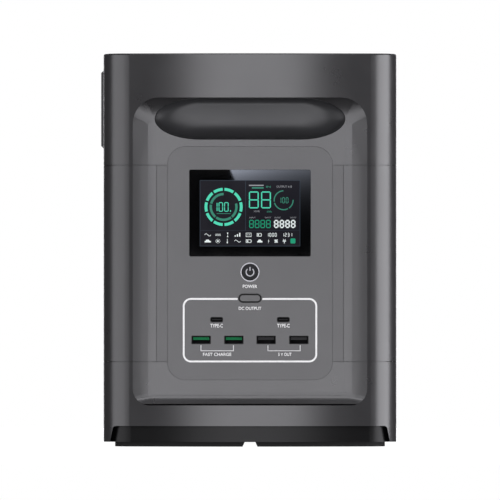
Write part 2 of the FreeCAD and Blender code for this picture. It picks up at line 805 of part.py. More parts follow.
def make_fan(label, along):
    """A square fan: its frame with a motor mount on three struts, and the rotor on the mount's pin."""
    half = "fan_size / 2"
    bore = "fan_size / 2 - 1.5"
    shell = block(label + "_square", ("-fan_depth", "0"), (f"-{half}", half), (f"-{half}", half))
    tunnel = rod(label + "_tunnel", bore, "fan_depth + 2", ALONG_X, ("-fan_depth - 1", 0, 0))
    corners = [rod(f"{label}_eye_{n}", 1.6, "fan_depth + 2", ALONG_X,
                   ("-fan_depth - 1", f"{y} * ({half} - 4)", f"{z} * ({half} - 4)"))
               for n, (y, z) in enumerate(((1, 1), (1, -1), (-1, 1), (-1, -1)))]
    hub = rod(label + "_mount", 10, 2, ALONG_X, ("-fan_depth", 0, 0))
    pin = rod(label + "_pin", 1.5, 10, ALONG_X, ("-fan_depth", 0, 0))
    struts = []
    for number in range(3):
        strut = block(f"{label}_strut_{number}", ("0", "2"), ("-1.5", "1.5"), ("8", bore + " + 0.5"))
        strut.setExpression("Placement.Base.x", None)
        strut.setExpression("Placement.Base.y", None)
        strut.setExpression("Placement.Base.z", None)
        turn = Rotation(ALONG_X, 30 + 120 * number)
        strut.Placement = Placement(Vector(-sheet.fan_depth, 0, 0) + turn.multVec(Vector(0, -1.5, 8)), turn)
        struts.append(strut)
    frame = fuse(label + "_frame", cut(label + "_open", shell, tunnel, *corners), hub, pin, *struts)
    frame.Placement = fan_place(along)
    node(frame, label + "_frame")

    cup = rod(label + "_cup", 10.5, 10, ALONG_X, ("3 - fan_depth", 0, 0))
    hollow = rod(label + "_hollow", 1.56, 8.5, ALONG_X, ("2 - fan_depth", 0, 0))
    ring = cut(label + "_ring",
               rod(label + "_sweep", f"{bore} - 0.8", 9, ALONG_X, ("3.5 - fan_depth", 0, 0)),
               rod(label + "_core", 10, 11, ALONG_X, ("3 - fan_depth", 0, 0)))
    blades = []
    for number in range(BLADES):
        blade = shaped(f"{label}_blade_{number}", Part.makeBox(1.2, 16, 20, Vector(-0.6, -8, 8)))
        tilt = Rotation(ALONG_Z, BLADE_TILT)
        turn = Rotation(ALONG_X, number * 360 / BLADES)
        blade.Placement = Placement(Vector(8 - sheet.fan_depth, 0, 0), turn.multiply(tilt))
        blades.append(blade)
    vanes = common(label + "_vanes", fuse(label + "_blades", *blades), ring)
    rotor = cut(label + "_rotor", fuse(label + "_spinner", cup, vanes), hollow)
    rotor.Placement = fan_place(along)
    node(rotor, label + "_rotor")


# ---- base ---------------------------------------------------------------------------------------------

def make_base():
    """The tray that closes the case from below, and a pair of rubber feet under each end."""
    inset = "wall + tray_clearance"
    dish = plan_block("tray_block", inset, "shell_foot", "tray_rim")
    hollow = plan_block("tray_hollow", f"{inset} + tray_floor", "shell_foot + tray_floor", "tray_rim + 1")
    screws = SCREW_PLACES
    bores = [rod(f"tray_bore_{n}", 2.2, 10, ALONG_Z, (x, y, "shell_foot - 1"))
             for n, (x, y) in enumerate(screws)]
    heads = [rod(f"tray_sink_{n}", 4.2, "tray_floor / 2", ALONG_Z, (x, y, "shell_foot"))
             for n, (x, y) in enumerate(screws)]
    node(cut("base_tray", dish, hollow, *bores, *heads), "base_tray")

    bodies = []
    for number, (x, y) in enumerate(screws):
        head = rod(f"screw_head_{number}", 4, "tray_floor / 2 - 0.2", ALONG_Z, (x, y, "shell_foot + 0.2"))
        shank = rod(f"screw_shank_{number}", 2, "tray_floor / 2 + 6", ALONG_Z,
                    (x, y, "shell_foot + tray_floor / 2"))
        drive = rod(f"screw_drive_{number}", 1.2, 1, ALONG_Z, (x, y, "shell_foot"))
        bodies.append(cut(f"base_screw_{number}", fuse(f"screw_blank_{number}", head, shank), drive))
    node(group("base_screws", bodies), "base_screws")

    feet = []
    for end, turned in (("front", False), ("rear", True)):
        plan = plan_block(end + "_foot_plan", "body_width / 2 - foot_outer", 0, "shell_foot")
        pair = []
        for side in (-1, 1):
            wedge = new_body(f"{end}_foot_{'right' if side > 0 else 'left'}_wedge")
            sketch = end_sketch(wedge, wedge.Name + "_outline",
                                level="body_length / 2 - foot_setback + foot_slant")
            inner, outer = side * sheet.foot_inner, side * (sheet.foot_outer + sheet.foot_slant)
            tip = side * (sheet.foot_inner - sheet.foot_flare)
            corners = [Vector(inner, 0), Vector(outer, 0), Vector(outer, sheet.shell_foot),
                       Vector(tip, sheet.shell_foot)]
            sketch.addGeometry([Part.LineSegment(a, b) for a, b in zip(corners, corners[1:] + corners[:1])])
            for edge in range(4):
                constrain(sketch, "Coincident", edge, 2, (edge + 1) % 4, 1)
            constrain(sketch, "Horizontal", 0)
            constrain(sketch, "Horizontal", 2)
            constrain(sketch, "Vertical", 1)
            constrain(sketch, "PointOnObject", 0, 1, -1)
            constrain(sketch, "DistanceX", -1, 1, 0, 1, inner, tie=f"{side} * foot_inner")
            constrain(sketch, "DistanceX", -1, 1, 0, 2, outer, tie=f"{side} * (foot_outer + foot_slant)")
            constrain(sketch, "DistanceX", -1, 1, 2, 2, tip, tie=f"{side} * (foot_inner - foot_flare)")
            constrain(sketch, "DistanceY", 1, 1, 1, 2, sheet.shell_foot, tie="shell_foot")
            doc.recompute()
            pad(wedge, sketch, "foot_depth", back=True)
            pair.append(common(wedge.Name + "_foot", plan, wedge))
        feet += [turn_to_rear(foot) for foot in pair] if turned else pair
    node(group("rubber_feet", feet), "rubber_feet")


# ---- the two ends: frame and panel --------------------------------------------------------------------

SCREW_PLACES = [(x, y) for x in (-88, 88) for y in (-130, -50, 50, 130)]
LEAD_COLUMNS, LEAD_ALONG = (-40, 40), 98
BOARD_ACROSS, BOARD_ALONG = (-80, 80), (-126, 126)
BLADES, BLADE_TILT = 7, 48
PANEL_BACK = "floor_plane - panel_thickness"
FRAME_BACK = "floor_plane - panel_thickness - frame_thickness"


def start_end_frame(label):
    """The plate behind a panel, with the two strips that show beside it between the seams."""
    body = new_body(label)
    plate = end_sketch(body, label + "_plate", z="(frame_low + frame_high) / 2", level=FRAME_BACK)
    draw_rectangle(plate, "2 * (frame_half_width + frame_overlap)", "frame_high - frame_low")
    pad(body, plate, "frame_thickness")
    strip_width = "frame_half_width - seam_gap / 2 - panel_width / 2"
    for side, name in ((-1, "left"), (1, "right")):
        strip = end_sketch(body, f"{label}_{name}_strip",
                           x=f"{side} * (panel_width / 2 + ({strip_width}) / 2)",
                           z="(lower_seam + upper_seam) / 2", level=PANEL_BACK)
        draw_rectangle(strip, strip_width, "upper_seam - lower_seam - seam_gap")
        pad(body, strip, "panel_thickness")
    return body


def start_end_panel(label):
    """A round-cornered panel, flush with the floor of the recess."""
    body = new_body(label)
    outline = end_sketch(body, label + "_outline", z="panel_middle", level=PANEL_BACK)
    draw_rounded(outline, "panel_width - seam_gap", "panel_height - seam_gap",
                 "panel_corner - seam_gap / 2")
    doc.recompute()
    pad(body, outline, "panel_thickness")
    return body


def window(body, name, draw, x, z, *sizes, level="floor_plane", depth="panel_thickness"):
    """Sink one shape into a panel or a frame."""
    sketch = end_sketch(body, f"{body.Name}_{name}", x=x, z=z, level=level)
    draw(sketch, *sizes)
    doc.recompute()
    return pocket(body, sketch, depth)


def frame_window(body, name, draw, x, z, *sizes):
    return window(body, name, draw, x, z, *sizes, level=PANEL_BACK, depth="frame_thickness")


USB_C_PLACES = [("left", "-usb_c_across"), ("right", "usb_c_across")]
USB_A_PLACES = [("outer_left", "-usb_a_outer"), ("inner_left", "-usb_a_inner"),
                ("inner_right", "usb_a_inner"), ("outer_right", "usb_a_outer")]


def make_front_end():
    frame = start_end_frame("front_frame")
    frame_window(frame, "display", draw_rectangle, 0, "glass_middle", "glass_width - 2 * glass_ledge + 0.4",
                 "glass_height - 2 * glass_ledge + 0.4")
    frame_window(frame, "power", draw_circle, 0, "power_middle", "power_radius + 2")
    frame_window(frame, "pill", draw_pill, 0, "pill_middle", "pill_width + 4", "pill_height + 4")
    frame_window(frame, "ports", draw_rectangle, 0, "(usb_a_middle + usb_c_middle) / 2",
                 "2 * usb_a_outer + usb_a_width + 3", "usb_c_middle - usb_a_middle + usb_a_height + 3")
    node(frame, "front_frame")

    panel = start_end_panel("front_panel")
    window(panel, "glass", draw_rounded, 0, "glass_middle", "glass_width", "glass_height", "glass_corner",
           depth="glass_thickness + 0.1")
    window(panel, "display", draw_rectangle, 0, "glass_middle", "glass_width - 2 * glass_ledge",
           "glass_height - 2 * glass_ledge")
    window(panel, "power", draw_circle, 0, "power_middle", "power_radius")
    window(panel, "pill", draw_pill, 0, "pill_middle", "pill_width", "pill_height")
    for side, x in USB_C_PLACES:
        window(panel, "usb_c_" + side, draw_pill, x, "usb_c_middle", "usb_c_width", "usb_c_height")
    for side, x in USB_A_PLACES:
        window(panel, "usb_a_" + side, draw_rounded, x, "usb_a_middle", "usb_a_width", "usb_a_height",
               "port_skin")
    node(panel, "front_panel")


# ---- display and front buttons ------------------------------------------------------------------------

def end_plate(label, draw, z, thickness, *sizes, x=0, back=PANEL_BACK):
    """A flat piece that faces the front, raised from the level of its back."""
    body = new_body(label)
    sketch = end_sketch(body, label + "_outline", x=x, z=z, level=back)
    draw(sketch, *sizes)
    doc.recompute()
    pad(body, sketch, thickness)
    return body


BUTTON_FLANGE_FRONT = "floor_plane - panel_thickness - 0.3"
BUTTON_FLANGE_BACK = f"{BUTTON_FLANGE_FRONT} - 1.2"


def make_switch(label, x, z, back):
    """A small switch on a board: a square case, and a plunger that stops a key at the end of its travel."""
    switch = end_plate(label, draw_rectangle, z, "3.4", "6", "6", x=x, back=back)
    plunger = end_sketch(switch, label + "_plunger", x=x, z=z, level=f"{back} + 3.4")
    draw_circle(plunger, "1.7")
    doc.recompute()
    pad(switch, plunger, f"{BUTTON_FLANGE_BACK} - button_travel - 0.1 - ({back} + 3.4)")
    return switch


def make_display():
    glass_back = "floor_plane - glass_thickness - 0.1"
    module_back = f"{glass_back} - module_thickness"
    board_back = f"{module_back} - board_thickness"
    glass = end_plate("display_glass", draw_rounded, "glass_middle", "glass_thickness", "glass_width - 0.2",
                      "glass_height - 0.2", "glass_corner - 0.1", back=glass_back)
    node(glass, "display_glass")
    module = end_plate("display_module", draw_rectangle, "glass_middle", "module_thickness",
                       "glass_width - 2 * glass_ledge - 0.4", "glass_height - 2 * glass_ledge - 0.4",
                       back=module_back)
    node(module, "display_module")
    board = end_plate("display_board", draw_rectangle, "150", "board_thickness", "104", "104",
                      back=board_back)
    node(board, "display_board")
    switches = []
    for name, z in (("power", "power_middle"), ("output", "pill_middle")):
        switches.append(make_switch(name + "_switch", 0, z, module_back))
    return switches


def make_button(label, draw, z, proud, face, flange, x=0):
    """A sprung key: a face in the panel's hole, with a flange behind the panel that keeps it in."""
    body = new_body(label)
    base = end_sketch(body, label + "_flange", x=x, z=z, level=BUTTON_FLANGE_BACK)
    draw(base, *flange)
    doc.recompute()
    pad(body, base, "1.2")
    top = end_sketch(body, label + "_face", x=x, z=z, level=BUTTON_FLANGE_FRONT)
    draw(top, *face)
    doc.recompute()
    pad(body, top, f"panel_thickness + 0.3 + {proud}")
    front = -(sheet.floor_plane + proud)
    soften(body, "Fillet", "0.4", lambda box: box.YMax < front + 1e-6)
    return body


def make_front_buttons():
    ring = end_plate("power_ring", draw_circle, "power_middle", "panel_thickness + 0.5",
                     "power_radius - 0.02")
    hole = end_sketch(ring, "power_ring_hole", z="power_middle", level="floor_plane + 0.5")
    draw_circle(hole, "power_radius - ring_width")
    doc.recompute()
    pocket(ring, hole, "panel_thickness + 1")
    node(ring, "power_ring")
    node(make_button("power_button", draw_circle, "power_middle", 0.3,
                     ["power_radius - ring_width - button_clearance"], ["power_radius + 1.2"]),
         "power_button")
    node(make_button("output_button", draw_pill, "pill_middle", 0.3,
                     ["pill_width - 2 * button_clearance", "pill_height - 2 * button_clearance"],
                     ["pill_width + 2.4", "pill_height + 2.4"]), "output_button")


# ---- front ports --------------------------------------------------------------------------------------

PORT_FRONT = "floor_plane - 0.5"


def make_port_shells(label, draw, places, z, depth, *sizes):
    """Folded metal shells, one in each mouth, closed at the back."""
    shells = []
    outer = [f"{size} - 0.2" for size in sizes[:2]]
    inner = [f"{size} - 0.2 - 2 * port_skin" for size in sizes[:2]]
    for side, x in places:
        shell = end_plate(f"{label}_{side}", draw, z, depth, *outer, *sizes[2:], x=x,
                          back=f"{PORT_FRONT} - {depth}")
        mouth = end_sketch(shell, f"{label}_{side}_mouth", x=x, z=z, level=PORT_FRONT)
        draw(mouth, *inner, *sizes[2:])
        doc.recompute()
        pocket(shell, mouth, f"{depth} - port_skin")
        shells.append(shell)
    return node(group(label, shells), label)


def make_tongues(places, z, depth, width, height):
    """The contact tongues inside some of the ports."""
    back = f"{PORT_FRONT} - {depth} + port_skin"
    return [end_plate(f"{depth}_tongue_{side}", draw_rectangle, z, f"{depth} - port_skin - 1", width,
                      height,
                      x=x, back=back) for side, x in places]


def make_front_ports():
    make_port_shells("usb_a_shells", draw_rounded, USB_A_PLACES, "usb_a_middle", "usb_a_depth",
                     "usb_a_width", "usb_a_height", "port_skin / 2")
    make_port_shells("usb_c_shells", draw_pill, USB_C_PLACES, "usb_c_middle", "usb_c_depth",
                     "usb_c_width", "usb_c_height")
    high = "usb_a_middle + usb_a_height / 6"
    fast = make_tongues(USB_A_PLACES[:2], high, "usb_a_depth", "usb_a_width - 2.4", "2")
    node(group("fast_usb_tongues", fast), "fast_usb_tongues")
    plain = make_tongues(USB_A_PLACES[2:], high, "usb_a_depth", "usb_a_width - 2.4", "2")
    slim = make_tongues(USB_C_PLACES, "usb_c_middle", "usb_c_depth", "usb_c_width - 2.4", "0.7")
    node(group("usb_tongues", plain + slim), "usb_tongues")
    board_front = f"{PORT_FRONT} - usb_a_depth"
    board = end_plate("usb_board", draw_rectangle, "82", "board_thickness", "96", "34",
                      back=f"{board_front} - board_thickness")
    for side, x in USB_C_PLACES:
        riser = end_sketch(board, f"usb_c_riser_{side}", x=x, z="usb_c_middle", level=board_front)
        draw_rectangle(riser, "usb_c_width - 1", "usb_c_height - 0.6")
        doc.recompute()
        pad(board, riser, "usb_a_depth - usb_c_depth")
    node(board, "usb_board")


# ---- the rear end: sockets, built as if at the front and then turned ----------------------------------

def across(middle, half):
    """A span about a middle."""
    return f"({middle}) - ({half})", f"({middle}) + ({half})"


def behind(front, back):
    """A span between two distances from the middle of the case, measured towards the front."""
    return f"-({front})", f"-({back})"


def outlet_block(label, z):
    """A pair of earthed outlets moulded in one piece, with a cavity behind each slot."""
    solids, hollows = [], []
    for side, x in (("left", "-outlet_across"), ("right", "outlet_across")):
        face = end_plate(f"{label}_{side}_face", draw_rounded, z, "panel_thickness + 0.6",
                         "outlet_width - 0.2",
                         "outlet_height - 0.2", "6", x=x)
        solids.append(face)
        for name, shift, tall in (("live", -6.35, 7), ("neutral", 6.35, 9)):
            hollows.append(block(f"{label}_{side}_{name}_slot", across(f"{x} + {shift}", 1.1),
                                 behind("floor_plane + 2", "floor_plane - 14"), across(f"({z}) + 3",
                                                                                       tall / 2)))
            hollows.append(block(f"{label}_{side}_{name}_cavity", across(f"{x} + {shift}", 2.5),
                                 behind("floor_plane - 4", "floor_plane - 14"), across(f"({z}) + 3", 5)))
        hollows.append(rod(f"{label}_{side}_earth", 2.6, "14 + 2", ALONG_Y,
                           (x, "-floor_plane - 2", f"({z}) - 7.5")))
    back = block(label + "_back", ("-outlet_across - 15", "outlet_across + 15"),
                 behind(PANEL_BACK, "floor_plane - 16"), across(z, 13))
    return turn_to_rear(node(cut(label, fuse(label + "_whole", back, *solids), *hollows), label))


def outlet_clips(z):
    """Brass clips in the cavities of a pair of outlets, and sleeves for the earth pins."""
    clips = []
    for side, x in (("left", "-outlet_across"), ("right", "outlet_across")):
        for shift in (-6.35, 6.35):
            name = f"clip_{z}_{side}_{'live' if shift < 0 else 'neutral'}"
            jaws = block(name + "_jaws", across(f"{x} + {shift}", 2.3),
                         behind("floor_plane - 5", "floor_plane - 14"),
                         across(f"({z}) + 3", 4.8))
            gap = block(name + "_gap", across(f"{x} + {shift}", 0.8),
                        behind("floor_plane", "floor_plane - 12"),
                        across(f"({z}) + 3", 5))
            clips.append(cut(name, jaws, gap))
        sleeve = rod(f"sleeve_{z}_{side}", 2.55, 8, ALONG_Y, (x, "13.5 - floor_plane - 8", f"({z}) - 7.5"))
        bore = rod(f"sleeve_bore_{z}_{side}", 2.1, 6.5, ALONG_Y,
                   (x, "13.5 - floor_plane - 9", f"({z}) - 7.5"))
        clips.append(cut(f"earth_sleeve_{z}_{side}", sleeve, bore))
    return clips


def hinge_ears(name, x, near, far, ground, crown, pin_y, pin_z):
    """Two ears that hold a hinge pin, standing on the panel."""
    ears = []
    for side in (-1, 1):
        middle = f"({x}) + {side} * ({near + far}) / 2"
        ear = block(f"{name}_ear_{side + 1}", across(middle, (far - near) / 2),
                    behind(f"-({pin_y}) + 2", "floor_plane"), (ground, crown))
        ears.append(ear)
    bore = rod(name + "_ear_bore", 1.02, 2 * far + 2, ALONG_X, (f"({x}) - {far + 1}", pin_y, pin_z))
    return ears, bore


def make_car_socket():
    """A round 12 volt socket with a hinged cap over its mouth."""
    x, z = "car_across", "car_middle"
    front = "-floor_plane - 1.5"
    flange = rod("car_flange", "car_rim", 1.5, ALONG_Y, (x, front, z))
    barrel = rod("car_barrel", "car_bore + 1.5", "car_depth + 1.5", ALONG_Y, (x, front, z))
    bore = rod("car_hollow", "car_bore", "car_depth", ALONG_Y, (x, front, z))
    pin_y, pin_z = "-floor_plane - 3.2", f"{z} + 17"
    ears, pin_bore = hinge_ears("car", x, 5, 7.5, f"{z} + 11.6", f"{z} + 19", pin_y, pin_z)
    eye = rod("car_eye", 3.05, 4, ALONG_Y, (x, "car_depth - floor_plane - 2", z))
    socket = cut("car_socket", fuse("car_whole", flange, barrel, *ears), bore, pin_bore, eye)
    turn_to_rear(node(socket, "car_socket"))

    disc = rod("cap_disc", 12.3, 2.5, ALONG_Y, (x, "-floor_plane - 4.3", z))
    web = block("cap_web", across(x, 4.6), ("-floor_plane - 4.3", "-floor_plane - 2.1"),
                (f"{z} + 11", f"{z} + 17"))
    knuckle = rod("cap_knuckle", 1.9, 9.2, ALONG_X, (f"{x} - 4.6", pin_y, pin_z))
    tab = block("cap_tab", across(x, 5), ("-floor_plane - 4.3", "-floor_plane - 2.6"),
                (f"{z} - 17", f"{z} - 12"))
    tunnel = rod("cap_tunnel", 1.06, 12, ALONG_X, (f"{x} - 6", pin_y, pin_z))
    cap = cut("car_cap", fuse("cap_whole", disc, web, knuckle, tab), tunnel)
    turn_to_rear(node(cap, "car_cap"))
    return rod("car_pin", 1, 15, ALONG_X, (f"{x} - 7.5", pin_y, pin_z))


def make_expansion_port():
    """A socket for an extra battery, under a hinged cover."""
    x, z = "expansion_across", "expansion_middle"
    flange = end_plate("expansion_flange", draw_rounded, z, "1", "46", "20", "3", x=x, back="floor_plane")
    shell = block("expansion_shell", across(x, 20), behind("floor_plane", "floor_plane - 15"), across(z, 6))
    hollow = block("expansion_hollow", across(x, 18), behind("floor_plane + 2", "floor_plane - 12"),
                   across(z, 4.5))
    pin_y, pin_z = "-floor_plane - 2.7", f"{z} + 11.5"
    ears, pin_bore = hinge_ears("expansion", x, 17, 20, f"{z} + 8.9", f"{z} + 13.5", pin_y, pin_z)
    port = cut("expansion_port", fuse("expansion_whole", flange, shell, *ears), hollow, pin_bore)
    turn_to_rear(node(port, "expansion_port"))

    lid = end_plate("cover_lid", draw_rounded, f"{z} - 0.25", "2.2", "45", "16.5", "3", x=x,
                    back="floor_plane + 1.3")
    web = block("cover_web", across(x, 16.6), ("-floor_plane - 3.5", "-floor_plane - 1.8"),
                (f"{z} + 8", f"{z} + 11.5"))
    knuckle = rod("cover_knuckle", 1.8, 33.2, ALONG_X, (f"{x} - 16.6", pin_y, pin_z))
    tab = block("cover_tab", across(x, 6), ("-floor_plane - 3.5", "-floor_plane - 2"),
                (f"{z} - 11", f"{z} - 8"))
    tunnel = rod("cover_tunnel", 1.06, 36, ALONG_X, (f"{x} - 18", pin_y, pin_z))
    cover = cut("expansion_cover", fuse("cover_whole", lid, web, knuckle, tab), tunnel)
    turn_to_rear(node(cover, "expansion_cover"))

    back = "floor_plane - 12"
    blades = [block(f"expansion_blade_{n}", across(f"{x} + {shift}", 0.8), behind("floor_plane - 3", back),
                    across(z, 3))
              for n, shift in enumerate((-14, 14))]
    pins = [rod(f"expansion_pin_{n}", 0.4, 8, ALONG_Y, (f"{x} + {shift}", "4 - floor_plane", z))
            for n, shift in enumerate((-2.4, -0.8, 0.8, 2.4))]
    return rod("cover_pin", 1, 40, ALONG_X, (f"{x} - 20", pin_y, pin_z)), blades + pins


def make_small_sockets():
    """Barrel jacks, the mains inlet and the solar input, and the contacts in them."""
    contacts = []
    jacks = []
    for name, z in (("low", "jack_low"), ("high", "jack_high")):
        rim = rod(f"jack_{name}_rim", "jack_bore + 2.7", 1, ALONG_Y, ("jack_across", "-floor_plane - 1", z))
        sleeve = rod(f"jack_{name}_sleeve", "jack_bore + 1.4", 13, ALONG_Y,
                     ("jack_across", "-floor_plane - 1", z))
        hollow = rod(f"jack_{name}_hollow", "jack_bore", 11, ALONG_Y,
                     ("jack_across", "-floor_plane - 2", z))
        jacks.append(cut(f"jack_{name}", fuse(f"jack_{name}_whole", rim, sleeve), hollow))
        contacts.append(rod(f"jack_{name}_pin", 1.05, 9, ALONG_Y, ("jack_across", "-floor_plane", z)))
    turn_to_rear(node(group("dc_jacks", jacks), "dc_jacks"))

    x, z = "inlet_across", "inlet_middle"
    face = end_plate("inlet_face", draw_rounded, z, "1", "31", "24", "3", x=x, back="floor_plane")
    shell = block("inlet_shell", across(x, 13.5), behind("floor_plane", "floor_plane - 19"), across(z, 9.8))
    hollow = block("inlet_hollow", across(x, 12), behind("floor_plane + 2", "floor_plane - 16"),
                   across(z, 8.2))
    tongue = block("inlet_tongue", across(x, 8.5), behind("floor_plane - 1", "floor_plane - 16"),
                   across(z, 5.4))
    holes = [block(f"inlet_hole_{n}", across(f"{x} + {shift}", 1.4),
                   behind("floor_plane", "floor_plane - 16"),
                   across(f"{z} + {lift}", 2.4)) for n, (shift,
                                                         lift) in enumerate(((-5, -1), (5, -1), (0, 1.6)))]
    core = cut("inlet_core", tongue, *holes)
    turn_to_rear(node(fuse("ac_inlet", cut("inlet_body", fuse("inlet_whole", face, shell), hollow), core),
                      "ac_inlet"))
    contacts += [block(f"inlet_pin_{n}", across(f"{x} + {shift}", 1),
                       behind("floor_plane - 2", "floor_plane - 16"),
                       across(f"{z} + {lift}", 2))
                 for n, (shift, lift) in enumerate(((-5, -1), (5, -1), (0, 1.6)))]

    x, z = "solar_across", "solar_middle"
    face = end_plate("solar_face", draw_rounded, z, "0.8", "20", "12", "2", x=x, back="floor_plane")
    shell = block("solar_shell", across(x, 8.4), behind("floor_plane", "floor_plane - 17"), across(z, 4.6))
    hollow = block("solar_hollow", across(x, 7.4), behind("floor_plane + 2", "floor_plane - 14"),
                   across(z, 3.6))
    turn_to_rear(node(cut("solar_input", fuse("solar_whole", face, shell), hollow), "solar_input"))
    contacts += [rod(f"solar_pin_{n}", 1.75, 12, ALONG_Y, (f"{x} + {shift}", "2 - floor_plane", z))
                 for n, shift in enumerate((-3.6, 3.6))]
    return contacts


def make_breaker():
    """A thermal breaker with a reset key in its threaded collar."""
    x, z = "breaker_across", "breaker_middle"
    collar = rod("breaker_collar", 6.5, 5, ALONG_Y, (x, "-floor_plane - 2", z))
    case = block("breaker_case", across(x, 8), behind(PANEL_BACK, "floor_plane - 24"), across(z, 7))
    well = rod("breaker_well", 4.05, 9, ALONG_Y, (x, "-floor_plane - 3", z))
    turn_to_rear(node(cut("breaker", fuse("breaker_whole", collar, case), well), "breaker"))
    key = rod("breaker_key_blank", 3.8, 7, ALONG_Y, (x, "-floor_plane - 4", z))
    dimple = rod("breaker_key_dimple", 2, 1.2, ALONG_Y, (x, "-floor_plane - 4.4", z))
    turn_to_rear(node(cut("breaker_button", key, dimple), "breaker_button"))


def make_rear_end():
    frame = start_end_frame("rear_frame")
    frame_window(frame, "outlets", draw_rectangle, 0, "(outlet_low + outlet_high) / 2",
                 "2 * outlet_across + outlet_width", "outlet_high - outlet_low + outlet_height")
    frame_window(frame, "inputs", draw_rectangle, 2, "72", "100", "42")
    frame_window(frame, "car", draw_circle, "car_across", "car_middle", "car_bore + 1.6")
    for name, z in (("low", "jack_low"), ("high", "jack_high")):
        frame_window(frame, "jack_" + name, draw_circle, "jack_across", z, "jack_bore + 1.5")
    panel = start_end_panel("rear_panel")
    for row, z in (("low", "outlet_low"), ("high", "outlet_high")):
        for side, x in (("left", "-outlet_across"), ("right", "outlet_across")):
            window(panel, f"outlet_{row}_{side}", draw_rounded, x, z, "outlet_width", "outlet_height", "6")
    window(panel, "car", draw_circle, "car_across", "car_middle", "car_bore + 1.6")
    for name, z in (("low", "jack_low"), ("high", "jack_high")):
        window(panel, "jack_" + name, draw_circle, "jack_across", z, "jack_bore + 1.5")
    window(panel, "inlet", draw_rectangle, "inlet_across", "inlet_middle", "27.2", "19.8")
    window(panel, "solar", draw_rectangle, "solar_across", "solar_middle", "17", "9.4")
    window(panel, "breaker", draw_circle, "breaker_across", "breaker_middle", "6.6")
    window(panel, "expansion", draw_rectangle, "expansion_across", "expansion_middle", "40.2", "12.2")

    switches = []
    module_back = "floor_plane - glass_thickness - 0.1 - module_thickness"
    for name, x, z in (("ac", 49, "(outlet_low + outlet_high) / 2"), ("dc", 18, "car_middle")):
        hole = ["ac_button_width", "ac_button_height", "2"]
        window(panel, name + "_button", draw_rounded, x, z, *hole)
        frame_window(frame, name + "_button", draw_rounded, x, z, "ac_button_width + 4",
                     "ac_button_height + 4", "2")
        less = [f"{size} - 2 * button_clearance" for size in hole[:2]]
        more = [f"{size} + 2.4" for size in hole[:2]]
        key = make_button(name + "_button", draw_rounded, z, 0.5, less + ["1.8"], more + ["2"], x=x)
        turn_to_rear(node(key, name + "_button"))
        switch = make_switch(name + "_switch", x, z, module_back)
        board = end_sketch(switch, name + "_switch_board", x=x, z=z,
                           level=f"{module_back} - board_thickness")
        draw_rectangle(board, "18", "14")
        doc.recompute()
        pad(switch, board, "board_thickness")
        switches.append(turn_to_rear(switch))
    turn_to_rear(node(frame, "rear_frame"))
    turn_to_rear(node(panel, "rear_panel"))

    contacts = []
    for row, z in (("lower", "outlet_low"), ("upper", "outlet_high")):
        outlet_block(row + "_ac_outlets", z)
        contacts += outlet_clips(z)
    car_pin = make_car_socket()
    cover_pin, blades = make_expansion_port()
    contacts += blades + make_small_sockets()
    contacts.append(rod("car_contact", 3, 1.5, ALONG_Y, ("car_across", "car_depth - floor_plane - 1.5",
                                                        "car_middle")))
    make_breaker()
    turn_to_rear(node(group("hinge_pins", [car_pin, cover_pin]), "hinge_pins"))
    turn_to_rear(node(group("socket_contacts", contacts), "socket_contacts"))
    board = end_plate("dc_output_board", draw_rectangle, "104", "board_thickness", "100", "64",
                      back="floor_plane - car_depth - board_thickness")
    turn_to_rear(node(board, "dc_output_board"))
    return switches


# ---- inside the case ----------------------------------------------------------------------------------

def cell_places():
    """The middle of each cell, row by row."""
    first = -(sheet.cell_columns - 1) / 2 * sheet.cell_pitch
    return [(column, row, first + column * sheet.cell_pitch,
             sheet.pack_foot + (row + 0.5) * sheet.cell_pitch)
            for row in range(int(sheet.cell_rows)) for column in range(int(sheet.cell_columns))]


